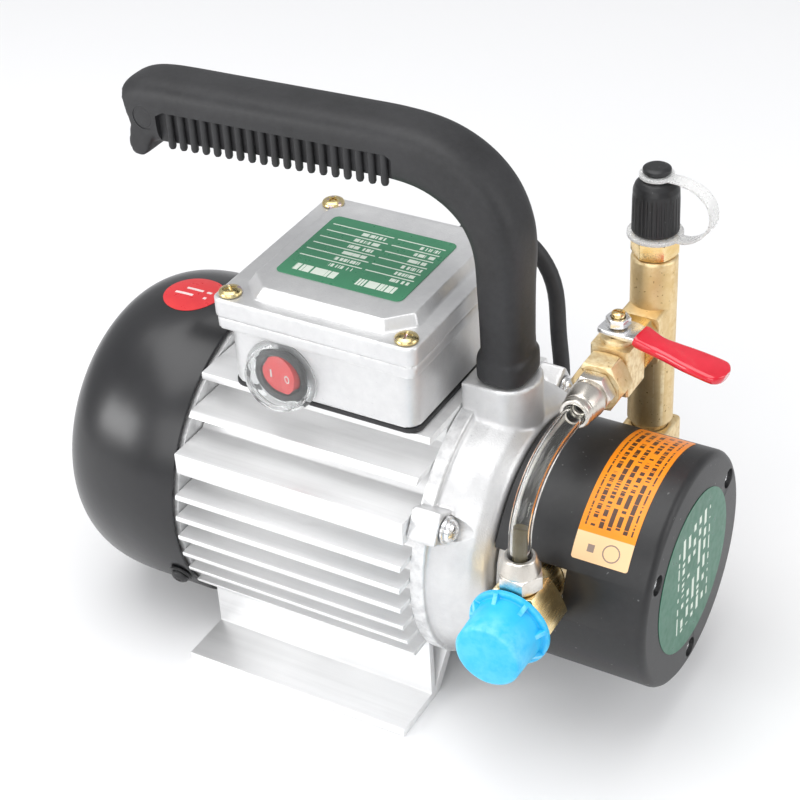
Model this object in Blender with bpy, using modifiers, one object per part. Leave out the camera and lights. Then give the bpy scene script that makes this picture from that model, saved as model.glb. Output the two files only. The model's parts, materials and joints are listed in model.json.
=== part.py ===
"""Electric oil charging pump: a finned single-phase motor on a foot, a gear pump
on its front end, a side inlet with a sight tube and a ball valve on the outlet.

Helper arguments are millimetres; MM turns them into metres.
X runs along the motor shaft toward the pump, -Y is the switch and inlet side,
Z is up and the foot stands on Z = 0.
"""
import math
import bpy
import bmesh
from mathutils import Vector, Matrix

MM = 0.001
GAP = 0.3                      # clearance between touching pieces

# ---- driving dimensions -------------------------------------------------
AXIS_Z = 63.0                  # shaft height
FRAME_X0, FRAME_X1 = -70.6, 27.7
BARREL_R, BARREL_IN = 52.0, 46.8
FIN_R = 63.9                   # circle the fin tips lie on
FIN_T = 2.2
FIN_Z = (106.6, 77.5, 68.3, 59.2, 50.0, 40.9, 31.7)
RAIL_Z, RAIL_H, RAIL_Y = 91.4, 9.4, 59.0
FOOT_HALF, FOOT_T, WEB_Y = 66.9, 2.2, 44.6
COWL_R, COWL_X0, COWL_CYL, COWL_DOME = 63.6, -72.4, 25.5, 37.5
BELL_R, BELL_X1 = 53.9, 54.4
BOLT_R = 56.7                  # tie screw circle
BOX_X0, BOX_X1, BOX_Y = -55.4, 23.2, 38.2
BOX_Z0, BOX_Z1, BOX_Z2 = 121.8, 146.0, 150.9
LID_X0, LID_X1, LID_Y, LID_Z = -58.2, 25.9, 41.6, 158.9
LID_SCREW_X, LID_SCREW_Y = (-52.7, 20.4), 36.1
HEAD_R, HEAD_X0, HEAD_X1 = 45.3, 55.0, 115.1
COVER_SCREW_R = 38.2
PORT_X, PORT_Z = 74.0, 73.0    # pump ports, one on each side
INLET_Y = -58.0                # middle of the inlet hexagon
PILLAR_X, PILLAR_Y, PILLAR_R, PILLAR_TOP = 74.2, 54.0, 8.8, 158.5
VALVE_Y, VALVE_Z = 22.0, 130.0
GRIP_X = 41.0                  # post of the handle
SWITCH_X, SWITCH_Z = -31.6, 131.2
GLAND_X, GLAND_Z = -16.0, 135.0
CORD_D = 7.0
GEAR_C = 22.0                  # gear centre distance
GEAR_TEETH = 12
FLOOR = -1.2                   # underside of the foot in these coordinates
DATUM = (8.536, 8.85, -FLOOR)    # moves the middle of the pump over the origin

for o in list(bpy.data.objects):
    bpy.data.objects.remove(o, do_unlink=True)
for block in (bpy.data.meshes, bpy.data.curves, bpy.data.materials):
    for item in list(block):
        block.remove(item)

PARTS = bpy.data.collections.new("oil_charging_pump")
CUTTERS = bpy.data.collections.new("cutters")
bpy.context.scene.collection.children.link(PARTS)
bpy.context.scene.collection.children.link(CUTTERS)

MATERIALS = {}


def material(name, color, rough, metal=0.0, alpha=1.0):
    m = bpy.data.materials.new(name)
    m.use_nodes = True
    b = m.node_tree.nodes["Principled BSDF"]
    b.inputs["Base Color"].default_value = (*color, 1.0)
    b.inputs["Roughness"].default_value = rough
    b.inputs["Metallic"].default_value = metal
    b.inputs["Alpha"].default_value = alpha
    m.diffuse_color = (*color, alpha)
    MATERIALS[name] = m


material("cast_aluminium", (0.62, 0.62, 0.62), 0.42, 0.9)
material("extruded_aluminium", (0.72, 0.72, 0.72), 0.35, 0.9)
material("black_paint", (0.012, 0.012, 0.013), 0.28)
material("black_rubber", (0.02, 0.02, 0.021), 0.55)
material("brass", (0.70, 0.48, 0.20), 0.35, 1.0)
material("nickel", (0.66, 0.63, 0.58), 0.25, 1.0)
material("zinc", (0.66, 0.66, 0.66), 0.25, 1.0)
material("yellow_zinc", (0.66, 0.50, 0.20), 0.3, 1.0)
material("steel", (0.45, 0.45, 0.46), 0.35, 1.0)
material("copper", (0.55, 0.22, 0.09), 0.4, 1.0)
material("blue_plastic", (0.02, 0.42, 0.80), 0.35)
material("red_vinyl", (0.62, 0.01, 0.02), 0.2)
material("red_plastic", (0.70, 0.01, 0.01), 0.25)
material("clear_plastic", (0.85, 0.88, 0.88), 0.12, 0.0, 0.35)
material("milky_plastic", (0.80, 0.82, 0.80), 0.3, 0.0, 0.6)
material("white_plastic", (0.75, 0.75, 0.72), 0.4)


# ---- helpers ------------------------------------------------------------
def link(obj, mat, cutter=False):
    (CUTTERS if cutter else PARTS).objects.link(obj)
    if cutter:
        obj.hide_render = True
        obj.display_type = "WIRE"
    else:
        obj.data.materials.append(MATERIALS[mat])
    return obj


def lathe(name, profile, mat=None, axis="Z", at=(0, 0, 0), steps=32, ring=False, turn=0.0):
    """Turned shape. profile is (height, radius) from the top down the outside."""
    mesh = bpy.data.meshes.new(name)
    verts = [(r * MM, 0.0, h * MM) for h, r in profile]
    edges = [(i, i + 1) for i in range(len(verts) - 1)]
    if ring:
        edges.append((len(verts) - 1, 0))
    mesh.from_pydata(verts, edges, [])
    obj = bpy.data.objects.new(name, mesh)
    link(obj, mat, mat is None)
    s = obj.modifiers.new("Screw", "SCREW")
    s.steps = s.render_steps = max(10, 2 * round(steps * 0.27))
    s.use_merge_vertices = True
    s.merge_threshold = 0.00001
    s.use_smooth_shade = True
    place(obj, axis, at, turn)
    return obj


def place(obj, axis, at, turn=0.0):
    spin = Matrix.Rotation(turn, 3, "Z")
    tilt = {"Z": Matrix.Identity(3), "X": Matrix.Rotation(math.pi / 2, 3, "Y"),
            "Y": Matrix.Rotation(-math.pi / 2, 3, "X"),
            "-Y": Matrix.Rotation(math.pi / 2, 3, "X"),
            "-Z": Matrix.Rotation(math.pi, 3, "X")}[axis]
    obj.rotation_euler = (tilt @ spin).to_euler()
    obj.location = Vector(at) * MM


def box(name, lo, hi, mat=None, bevel=0.0, segments=2):
    bpy.ops.mesh.primitive_cube_add(size=1.0)
    obj = bpy.context.object
    for c in list(obj.users_collection):
        c.objects.unlink(obj)
    obj.name = obj.data.name = name
    size = [(b - a) * MM for a, b in zip(lo, hi)]
    obj.data.transform(Matrix.Diagonal((*size, 1.0)))
    obj.location = [(a + b) / 2 * MM for a, b in zip(lo, hi)]
    link(obj, mat, mat is None)
    if bevel:
        b = obj.modifiers.new("Bevel", "BEVEL")
        b.width, b.segments = bevel * MM, segments
    return obj


def plate(name, outline, low, high, mat=None, axis="Z", at=(0, 0, 0), turn=0.0, holes=()):
    """Flat outline (x, y), less its holes, extruded from low to high along its axis."""
    curve = bpy.data.curves.new(name, "CURVE")
    curve.dimensions, curve.fill_mode = "2D", "BOTH"
    curve.extrude = (high - low) / 2 * MM
    for loop in (outline, *holes):
        sp = curve.splines.new("POLY")
        sp.points.add(len(loop) - 1)
        for p, (x, y) in zip(sp.points, loop):
            p.co = (x * MM, y * MM, 0.0, 1.0)
        sp.use_cyclic_u = True
    tmp = bpy.data.objects.new(name + "_curve", curve)
    bpy.context.scene.collection.objects.link(tmp)
    obj = mesh_of(name, tmp, mat)
    obj.data.transform(Matrix.Translation((0, 0, (high + low) / 2 * MM)))
    place(obj, axis, at, turn)
    return obj


def mesh_of(name, tmp, mat):
    """Replaces a curve object with a welded mesh object."""
    dg = bpy.context.evaluated_depsgraph_get()
    mesh = bpy.data.meshes.new_from_object(tmp.evaluated_get(dg))
    mesh.name = name
    bm = bmesh.new()
    bm.from_mesh(mesh)
    bmesh.ops.remove_doubles(bm, verts=bm.verts, dist=0.000005)
    bmesh.ops.recalc_face_normals(bm, faces=bm.faces)
    bm.to_mesh(mesh)
    bm.free()
    mesh.materials.clear()
    obj = bpy.data.objects.new(name, mesh)
    obj.matrix_world = tmp.matrix_world
    bpy.data.objects.remove(tmp, do_unlink=True)
    link(obj, mat, mat is None)
    return obj


def tube(name, points, radius, mat=None, resolution=2):
    curve = bpy.data.curves.new(name, "CURVE")
    curve.dimensions = "3D"
    curve.bevel_depth, curve.bevel_resolution = radius * MM, resolution
    curve.use_fill_caps = True
    sp = curve.splines.new("POLY")
    sp.points.add(len(points) - 1)
    for p, co in zip(sp.points, points):
        p.co = (*[c * MM for c in co], 1.0)
    tmp = bpy.data.objects.new(name + "_curve", curve)
    bpy.context.scene.collection.objects.link(tmp)
    return mesh_of(name, tmp, mat)


def boolean(obj, others, operation="DIFFERENCE"):
    for other in others:
        m = obj.modifiers.new("Boolean", "BOOLEAN")
        m.operation, m.object, m.solver = operation, other, "EXACT"
    return obj


def join(obj, others):
    return boolean(obj, others, "UNION")


def rounded(x0, x1, y0, y1, r, n=4):
    """Rectangle outline with corners of radius r."""
    out = []
    for cx, cy, a0 in ((x1 - r, y1 - r, 0), (x0 + r, y1 - r, 90), (x0 + r, y0 + r, 180), (x1 - r, y0 + r, 270)):
        for i in range(n + 1):
            a = math.radians(a0 + 90 * i / n)
            out.append((cx + r * math.cos(a), cy + r * math.sin(a)))
    return out


def chamfered(x0, x1, y0, y1, c):
    return [(x1, y0 + c), (x1, y1 - c), (x1 - c, y1), (x0 + c, y1), (x0, y1 - c), (x0, y0 + c), (x0 + c, y0), (x1 - c, y0)]


def hexagon(flats, point_x=True):
    r = flats / math.sqrt(3)
    start = 0 if point_x else 30
    return [(r * math.cos(math.radians(start + 60 * i)), r * math.sin(math.radians(start + 60 * i))) for i in range(6)]


def smooth_path(knots, step):
    """Points every step along a Catmull-Rom curve through the knots."""
    k = [Vector(p) for p in knots]
    k = [2 * k[0] - k[1]] + k + [2 * k[-1] - k[-2]]
    fine = []
    for i in range(1, len(k) - 2):
        for j in range(40):
            t = j / 40
            fine.append(0.5 * ((2 * k[i]) + (k[i + 1] - k[i - 1]) * t
                               + (2 * k[i - 1] - 5 * k[i] + 4 * k[i + 1] - k[i + 2]) * t * t
                               + (3 * k[i] - k[i - 1] - 3 * k[i + 1] + k[i + 2]) * t ** 3))
    fine.append(k[-2])
    out, run = [fine[0]], 0.0
    for a, b in zip(fine, fine[1:]):
        run += (b - a).length
        if run >= step:
            out.append(b)
            run = 0.0
    if (out[-1] - fine[-1]).length < step * 0.5:
        out[-1] = fine[-1]
    else:
        out.append(fine[-1])
    return out


def loft(name, rings, mat):
    """Closed skin over rings of equal point counts, capped at both ends."""
    bm = bmesh.new()
    rows = [[bm.verts.new([c * MM for c in p]) for p in ring] for ring in rings]
    n = len(rows[0])
    for a, b in zip(rows, rows[1:]):
        for i in range(n):
            bm.faces.new((a[i], a[(i + 1) % n], b[(i + 1) % n], b[i]))
    bm.faces.new(rows[0][::-1])
    bm.faces.new(rows[-1])
    bmesh.ops.recalc_face_normals(bm, faces=bm.faces)
    mesh = bpy.data.meshes.new(name)
    bm.to_mesh(mesh)
    bm.free()
    obj = bpy.data.objects.new(name, mesh)
    return link(obj, mat, mat is None)


def screw(name, head_r, head_h, shank_r, length, mat, axis, at, washer=0.0, turn=0.0):
    """Pan head screw: origin under the head, shank toward -axis."""
    prof = [(head_h * 0.35, 0), (head_h, head_r * 0.5), (head_h * 0.62, head_r * 0.93), (0, head_r)]
    if washer:
        prof += [(0, head_r + washer), (-1.2, head_r + washer)]
        base = -1.2
    else:
        base = 0
    prof += [(base, shank_r), (-length, shank_r), (-length, 0)]
    return lathe(name, prof, mat, axis, at, steps=15, turn=turn)


def empty(name, at):
    e = bpy.data.objects.new(name, None)
    e.empty_display_size = 0.02
    e.location = Vector(at) * MM
    PARTS.objects.link(e)
    return e


def yz(angle, radius):
    """Point in the YZ plane about the shaft; angle from +Y toward +Z in degrees."""
    a = math.radians(angle)
    return radius * math.cos(a), AXIS_Z + radius * math.sin(a)


AX = (0, 0, AXIS_Z)

# ---- motor frame: finned extrusion with foot ----------------------------
def arc(radius, z_from, z_to, n=4):
    """Points on the +Y side of a circle about the shaft, between two heights."""
    a0 = math.asin(max(-1.0, min(1.0, (z_from - AXIS_Z) / radius)))
    a1 = math.asin(max(-1.0, min(1.0, (z_to - AXIS_Z) / radius)))
    return [(radius * math.cos(a0 + (a1 - a0) * i / n), AXIS_Z + radius * math.sin(a0 + (a1 - a0) * i / n)) for i in range(n + 1)]


def drop(radius, y):
    """Height of the lower half of a circle about the shaft at a given y."""
    return AXIS_Z - math.sqrt(radius * radius - y * y)


PAD_WEB, PAD_Y, PAD_Z0, PAD_Z1 = 24.0, 36.2, 116.0, 119.2
half = [(0.0, PAD_Z1), (PAD_Y, PAD_Z1), (PAD_Y, PAD_Z0), (PAD_WEB, PAD_Z0)]
z = 2 * AXIS_Z - drop(BARREL_R, PAD_WEB)
for low, high, reach in [(f - FIN_T / 2, f + FIN_T / 2, None) for f in FIN_Z[:1]] + [(RAIL_Z - RAIL_H / 2, RAIL_Z + RAIL_H / 2, RAIL_Y)] + [(f - FIN_T / 2, f + FIN_T / 2, None) for f in FIN_Z[1:-1]]:
    half += arc(BARREL_R, z, high, 2)
    half += [(reach, high), (reach, low)] if reach else arc(FIN_R, high, low, 1)
    z = low
half += arc(BARREL_R, z, drop(BARREL_R, WEB_Y), 2)
low, high = FIN_Z[-1] - FIN_T / 2, FIN_Z[-1] + FIN_T / 2
half += [(WEB_Y, high)] + arc(FIN_R, high, low, 1) + [(WEB_Y, low), (WEB_Y, FOOT_T), (FOOT_HALF, FOOT_T), (FOOT_HALF, FLOOR), (38.6, FLOOR)]
half += arc(BARREL_R, drop(BARREL_R, 23.6), drop(BARREL_R, 6.0), 3) + [(6.0, 2.6)]
outline = half + [(-y, z) for y, z in half[:0:-1]]
pocket = [(41.6, FOOT_T + 0.8), (41.6, drop(BARREL_R, 41.6))] + arc(BARREL_R, drop(BARREL_R, 41.6), drop(BARREL_R, 27.2), 4)[1:]
turned = [(BARREL_IN * math.cos(2 * math.pi * i / 48), AXIS_Z + BARREL_IN * math.sin(2 * math.pi * i / 48)) for i in range(48)]
tie_at = [yz(30, BOLT_R), yz(150, BOLT_R), yz(270, BOLT_R)]
bores = [[(-(z + 2.5 * math.sin(2 * math.pi * i / 12)), y + 2.5 * math.cos(2 * math.pi * i / 12)) for i in range(12)] for y, z in tie_at]
frame = plate("motor_frame", [(-z, y) for y, z in outline], FRAME_X0, FRAME_X1, "extruded_aluminium", "X",
              holes=[[(-z, y) for y, z in turned], [(-z, y) for y, z in pocket], [(-z, -y) for y, z in pocket]] + bores)

# ---- stator, rotor and shaft --------------------------------------------
lathe("stator_core", [(10, 46.3), (-52, 46.3), (-52, 26.9), (10, 26.9)], "steel", "X", AX, 40, ring=True)
for nm, x0, x1 in (("winding_front", 10.3, 21.5), ("winding_rear", -63.5, -52.3)):
    lathe(nm, [(x1, 31), (x1, 40), (x1 - 2, 43), (x0 + 2, 44), (x0, 43), (x0, 30)], "copper", "X", AX, 32, ring=True)
shaft_axis = empty("shaft_axis", AX)
lathe("rotor_core", [(14, 8.3), (14, 22), (10, 26.3), (-52, 26.3), (-56, 22), (-56, 8.3)], "steel", "X", AX, 36, ring=True)
lathe("motor_shaft", [(84.0, 0), (84.0, 5.6), (54, 5.6), (42.0, 6.0), (26.5, 6.0), (26.5, 8.0), (-60.5, 8.0),
                      (-60.5, 6.0), (-74, 6.0), (-74, 5.0), (-101, 5.0), (-101, 0)], "steel", "X", AX, 24)
lathe("bearing_front", [(38.5, 15.9), (28.5, 15.9), (28.5, 6.3), (38.5, 6.3)], "steel", "X", AX, 28, ring=True)
lathe("bearing_rear", [(-62.0, 15.9), (-72.0, 15.9), (-72.0, 6.3), (-62.0, 6.3)], "steel", "X", AX, 28, ring=True)

# ---- rear end bell, fan and cowl ----------------------------------------
rear = lathe("rear_bell", [(-61.0, 20), (-61.0, 16.3), (-72.6, 16.3), (-72.6, 7.0), (-76.5, 7.0), (-76.5, 20.0), (-74.5, 24.0), (-74.5, 56.0),
                           (-80.5, 58.0), (-80.5, 61.4), (-71.0, 61.4), (-71.0, 46.0), (-69.6, 46.0), (-69.6, 20)][::-1],
             "cast_aluminium", "X", AX, 48, ring=True)
hub = lathe("cooling_fan", [(-84.5, 5.3), (-84.5, 11), (-86.5, 46.0), (-88.3, 46.0), (-88.3, 12), (-100.5, 10), (-100.5, 5.3)],
            "black_rubber", "X", AX, 28, ring=True)
blades = []
for k in range(8):
    b = box("blade_%d" % k, (-102.5, 9.0, -1.1), (-87.0, 50.0, 1.1))
    b.data.transform(Matrix.Translation(b.location))
    b.location = Vector(AX) * MM
    b.rotation_euler = (math.radians(45 * k + 10), 0, 0)
    blades.append(b)
join(hub, blades)


def cowl_profile(r, wall, n=7):
    """Dome from the rim to the back, as (x, radius)."""
    pts = [(COWL_X0, r), (COWL_X0 - COWL_CYL, r)]
    for i in range(1, n + 1):
        t = math.sin(math.radians(88.5) * i / n) ** 0.92
        pts.append((COWL_X0 - COWL_CYL - (COWL_DOME - wall) * t, r * (1 - t ** 2.4) ** (1 / 5.2)))
    return pts


outer = cowl_profile(COWL_R, 0.0)
inner = cowl_profile(COWL_R - 1.3, 1.3, 5)
inner = [(x, min(r, COWL_R - 1.3)) for x, r in inner]
cowl = lathe("fan_cowl", [p for p in outer] + [(COWL_X0 - COWL_CYL - COWL_DOME, 0)]
             + [(COWL_X0 - COWL_CYL - COWL_DOME + 1.3, 0)] + inner[::-1], "black_paint", "X", AX, 56, ring=True)
slots = []
for k in range(12):
    s = box("vent_%d" % k, (-140, 17, -2.4), (-120, 43, 2.4))
    s.data.transform(Matrix.Translation(s.location))
    s.location = Vector(AX) * MM
    s.rotation_euler = (2 * math.pi * (k + 0.27) / 12, 0, 0)
    slots.append(s)
hub_hole = []
boolean(cowl, slots)
COWL_SCREWS = (206.6, 333.4, 30.0)
holes, rholes = [], []
for i, a in enumerate(COWL_SCREWS):
    y, z = yz(a, COWL_R)
    q = Vector((0, math.cos(math.radians(a)), math.sin(math.radians(a)))).to_track_quat("Z", "Y").to_euler()
    s = screw("cowl_screw_%d" % (i + 1), 3.6, 2.4, 1.7, 6.2, "black_rubber", "Z", (0, 0, 0), washer=1.2)
    s.rotation_euler = q
    s.location = Vector((-77.0, *yz(a, COWL_R + 1.55))) * MM
    for nm, bag in (("cowl_hole", holes), ("rear_hole", rholes)):
        h = lathe("%s_%d" % (nm, i), [(6, 0), (6, 2.0), (-6.0, 2.0), (-6.0, 0)], None, "Z", (0, 0, 0), 12)
        h.rotation_euler = q
        h.location = Vector((-77.0, y, z)) * MM
        bag.append(h)
boolean(cowl, holes)
boolean(rear, rholes)

# ---- front end bell with handle boss ------------------------------------
bell = lathe("front_bell", [(FRAME_X1 + GAP, BARREL_R + 4.0), (33.0, BARREL_R + 4.0), (33.2, BELL_R), (42.0, 53.0), (49.0, 50.6),
                            (BELL_X1 - 1.0, 47.6), (BELL_X1, 45.6), (BELL_X1, 9.5), (39.0, 9.5), (39.0, 16.2), (24.5, 16.2),
                            (24.5, 22.0), (36.0, 24.0), (36.0, 46.3), (FRAME_X1 + GAP, 46.3)][::-1],
             "cast_aluminium", "X", AX, 56, ring=True)
adds = []
for i, a in enumerate((30, 150, 270)):
    y, z = yz(a, BOLT_R - 2.5)
    e = box("ear_%d" % i, (FRAME_X1 + GAP, -6.4, -9.0), (39.9, 6.4, 8.6))
    e.data.transform(Matrix.Translation(e.location))
    e.location = Vector((0, y, z)) * MM
    e.rotation_euler = (math.radians(a - 90), 0, 0)
    adds.append(e)
boss = [(28.2, -12.8), (GRIP_X, -12.8)]
boss += [(GRIP_X + 12.8 * math.sin(math.radians(15 * i)), -12.8 * math.cos(math.radians(15 * i))) for i in range(1, 12)]
boss += [(GRIP_X, 12.8), (28.2, 12.8)]
adds.append(plate("boss", boss, 104.0, 129.0, None, "Z"))
join(bell, adds)
boolean(bell, [lathe("ear_bore_%d" % i, [(60, 0), (60, 5.9), (39.6, 5.9), (39.6, 2.6), (25, 2.6), (25, 0)], None, "X", (0, y, z), 36, turn=0.1) for i, (y, z) in enumerate(tie_at)])
for i, (y, z) in enumerate(tie_at):
    screw("tie_screw_%d" % (i + 1), 4.3, 3.2, 2.1, 34.0, "zinc", "X", (39.6 + 1.5, y, z), washer=0.9)

# ---- handle -------------------------------------------------------------
grip_path = [(GRIP_X, 129.4), (GRIP_X, 134), (GRIP_X, 146), (GRIP_X + 0.1, 152), (GRIP_X, 166), (GRIP_X, 180), (39.2, 190), (34.4, 199.5), (26.0, 207.2),
             (14.5, 212.2), (0, 213.9), (-20, 213.4), (-45, 212.4), (-70, 211.2), (-92, 210.0), (-101, 209.4), (-106, 208.6), (-109.4, 207.6)]
grip_size = [(9.9, 11.6), (10.2, 12.0), (10.0, 12.0), (8.4, 10.8), (8.7, 11.3), (9.2, 12.0), (9.8, 12.2), (10.4, 12.4), (10.8, 12.5),
             (10.9, 12.5), (10.9, 12.5), (11.2, 12.5), (11.6, 12.5), (12.2, 12.5), (12.9, 12.5), (12.6, 12.2), (11.0, 11.2), (8.4, 9.6)]
rings = []
for i, (x, z) in enumerate(grip_path):
    a = grip_path[max(i - 1, 0)]
    b = grip_path[min(i + 1, len(grip_path) - 1)]
    t = Vector((b[0] - a[0], 0, b[1] - a[1])).normalized()
    n = Vector((t.z, 0, -t.x))
    hh, ww = grip_size[i]
    ring = []
    for k in range(16):
        ang = 2 * math.pi * (k + 0.5) / 16
        c, s = math.cos(ang), math.sin(ang)
        ca = math.copysign(abs(c) ** (2 / 3.2), c)
        sa = math.copysign(abs(s) ** (2 / 3.2), s)
        p = Vector((x, 0, z)) + n * (hh * ca)
        ring.append((p.x, ww * sa, p.z))
    rings.append(ring)
grip = loft("handle_grip", rings, "black_rubber")
hook = plate("hook", [(-107.3, 206.3), (-97.3, 206.1), (-99.7, 198.7), (-101.6, 193.6), (-104.6, 191.6), (-108.6, 192.4), (-109.9, 196.2), (-108.7, 202.3)],
             -11.17, 11.23, None, "-Y")
join(grip, [hook])

# ---- junction box -------------------------------------------------------
plate("box_gasket", rounded(-55.4, 23.2, -37.6, 37.6, 5), 119.5, 121.5, "black_rubber")
jbox = plate("junction_box", rounded(BOX_X0, BOX_X1, -BOX_Y, BOX_Y, 7), BOX_Z0, BOX_Z1 + 1.0, "cast_aluminium")
flange = plate("box_flange", rounded(LID_X0 + 0.5, LID_X1 - 0.5, -LID_Y + 0.5, LID_Y - 0.5, 3.6), BOX_Z1, BOX_Z2)
join(jbox, [flange])
boolean(jbox, [plate("box_hollow", chamfered(BOX_X0 + 3, BOX_X1 - 3, -BOX_Y + 3, BOX_Y - 3, 9), BOX_Z0 + 3, 160),
               lathe("switch_hole", [(2, 0), (2, 9.2), (-6, 9.2), (-6, 0)], None, "-Y", (SWITCH_X, -BOX_Y, SWITCH_Z), 48, turn=0.1),
               lathe("gland_hole", [(2, 0), (2, 7.6), (-6, 7.6), (-6, 0)], None, "Y", (GLAND_X, BOX_Y, GLAND_Z), 16),
               box("box_lead_hole", (-24, -6, 115), (-8, 6, 130))])
lid = plate("box_lid", rounded(LID_X0, LID_X1, -LID_Y, LID_Y, 4), BOX_Z2 + GAP, LID_Z, "cast_aluminium")
top = [(LID_X0 + 6.6, LID_X1 - 5.8, LID_Y - 5.4, 8.8, 0), (LID_X0 + 10.2, LID_X1 - 7.8, LID_Y - 7.9, 8.2, 5.2)]
plat = []
for x0, x1, y, c, dz in top:
    plat.append([(x, yy, LID_Z - 0.8 + dz) for x, yy in chamfered(x0, x1, -y, y, c)])
plat.insert(0, [(x, y, LID_Z - 3) for x, y, _ in plat[0]])
join(lid, [loft("lid_plateau", plat, None)])
boolean(lid, [plate("lid_hollow", chamfered(BOX_X0 + 3, BOX_X1 - 3, -BOX_Y + 3, BOX_Y - 3, 11), 140, LID_Z - 1.6)])
n = 0
lid_holes, box_holes = [], []
for x in LID_SCREW_X:
    for y in (-LID_SCREW_Y, LID_SCREW_Y):
        n += 1
        screw("lid_screw_%d" % n, 4.4, 2.2, 1.8, 10.2, "yellow_zinc", "Z", (x, y, LID_Z + GAP), turn=0.5 * n)
        for bag, nm in ((lid_holes, "lid"), (box_holes, "boxs")):
            bag.append(lathe("%s_hole_%d" % (nm, n), [(162, 0), (162, 2.2), (147.3, 2.2), (147.3, 0)], None, "Z", (x, y, 0), 12))
boolean(lid, lid_holes)
boolean(jbox, box_holes)
lathe("run_capacitor", [(10, 0), (10, 10.5), (9, 11.2), (-38, 11.2), (-39, 10.5), (-39, 0)], "white_plastic", "X", (0, 14.0, 138.0), 24)

# switch: body through the box wall, rocker on an upright axis, clear boot
lathe("switch_body", [(-2.8, 0), (-2.8, 8.3), (2.2, 8.4), (2.2, 11.0), (0.3, 11.5), (0.3, 8.8), (-3.3, 8.8), (-3.3, 6.0), (-17, 6.0), (-17, 0)], "black_rubber", "-Y",
      (SWITCH_X, -BOX_Y, SWITCH_Z), 30)
rocker_axis = empty("rocker_axis", (SWITCH_X, -BOX_Y, SWITCH_Z))
rocker_side = [(-9.0, 0.5), (-9.0, -3.0), (-5.0, -2.1), (0.0, -1.4), (5.0, -2.1), (9.0, -3.0), (9.0, 0.5), (4.0, 1.9), (-4.0, 1.9)]
rocker = plate("switch_rocker", rocker_side, -9.0, 9.0, "red_plastic", "Z", (SWITCH_X, -BOX_Y, SWITCH_Z), math.radians(-9))
rim = lathe("rocker_round", [(8, 0), (8, 7.6), (-8, 7.6), (-8, 0)], None, "-Y", (SWITCH_X, -BOX_Y, SWITCH_Z), 48)
rim.rotation_euler = (Matrix.Rotation(math.radians(-9), 3, "Z") @ Matrix.Rotation(math.pi / 2, 3, "X")).to_euler()
boolean(rocker, [rim], "INTERSECT")
lathe("switch_boot", [(10.0, 0), (9.2, 9.4), (6.9, 12.3), (3.9, 12.9), (3.4, 14.0), (2.0, 14.6), (0.3, 14.6), (0.3, 12.2), (3.4, 12.1), (6.2, 11.4), (8.4, 8.6), (9.2, 0)],
      "clear_plastic", "-Y", (SWITCH_X, -BOX_Y, SWITCH_Z), 32)

# cable gland and cord
gl = plate("cable_gland", hexagon(17.0), 0.3, 6.0, "black_rubber", "Y", (GLAND_X, BOX_Y, GLAND_Z))
join(gl, [lathe("gland_cone", [(24.0, 0), (24.0, 4.4), (8.0, 6.2), (5.8, 7.4), (0.3, 7.2), (-5.5, 7.2), (-5.5, 0)], None, "Y", (GLAND_X, BOX_Y, GLAND_Z), 20)])
COIL_C = (-65.7, 118.0)
cord_knots = [(-16.0, 62.6, 135.0), (-16.0, 76.4, 135.0), (-13.7, 87.4, 132.6), (-9.0, 96.3, 127.5), (-2.8, 102.4, 119.8), (4.4, 104.8, 109.9), (10.5, 103.0, 98.5), (14.5, 96.7, 81.1), (18.1, 92.7, 67.8),
              (22.1, 82.1, 50.3), (19.0, 74.6, 37.3), (10.2, 71.9, 24.6), (0.7, 74.0, 14.7), (-7.3, 82.0, 7.6), (-11.9, 93.6, 3.5), (-12.9, 107.0, 2.5), (-12.6, 114.0, 2.5)]
# the last stretch meets the outside of the coil
cord_path = smooth_path(cord_knots, 14.0)
tube("power_cord", cord_path[:1] + [cord_path[0] + Vector((0, 3.0, 0))] + cord_path[1:], CORD_D / 2, "black_rubber")
lathe("cord_coil", [(14.4, 28.0), (14.4, 46.5), (11.0, 49.3), (3.5, 49.3), (0.3, 46.5), (0.3, 28.0)], "black_rubber", "Z", (*COIL_C, FLOOR), 40, ring=True)
# the tail leaves the coil's side and runs into the back of the plug
tail_knots = [(-31.4, 158.4, FLOOR + 8.2), (-40.0, 165.8, FLOOR + 6.6), (-49.5, 173.8, FLOOR + 6.4), (-59.0, 179.4, FLOOR + 8.4), (-68.0, 181.8, FLOOR + 10.2), (-73.7, 182.0, FLOOR + 10.4)]
tube("cord_tail", smooth_path(tail_knots, 7.0), CORD_D / 2, "black_rubber")
plug = lathe("mains_plug", [(34.0, 0), (34.0, 4.4), (17.0, 7.5), (14.0, 10.0), (1.5, 10.0), (0, 9.0), (0, 0)], "black_rubber", "X", (0, 0, 0), 20)
pins = [lathe("pin_%d" % k, [(2, 0), (2, 2.4), (-18, 2.4), (-19, 2.0), (-19, 0)], None, "X", (0, 9.5 / 2 * s, 0), 12) for k, s in enumerate((-1, 1))]
join(plug, pins)
for o in [plug] + pins:
    o.location = o.location + Vector((-108.0, 182.0, FLOOR + 10.4)) * MM

# ---- pump ---------------------------------------------------------------
MESH_Z = AXIS_Z + GEAR_C / 2


def gear_outline(pitch_r, teeth, addendum, dedendum, phase):
    out = []
    for k in range(teeth):
        a = phase + 2 * math.pi * k / teeth
        half = 2 * math.pi / teeth
        for frac, r in ((-0.36, pitch_r - dedendum), (-0.20, pitch_r - 0.2), (-0.09, pitch_r + addendum), (0.09, pitch_r + addendum), (0.20, pitch_r - 0.2), (0.36, pitch_r - dedendum)):
            out.append((r * math.cos(a + frac * half), r * math.sin(a + frac * half)))
    return out


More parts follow.
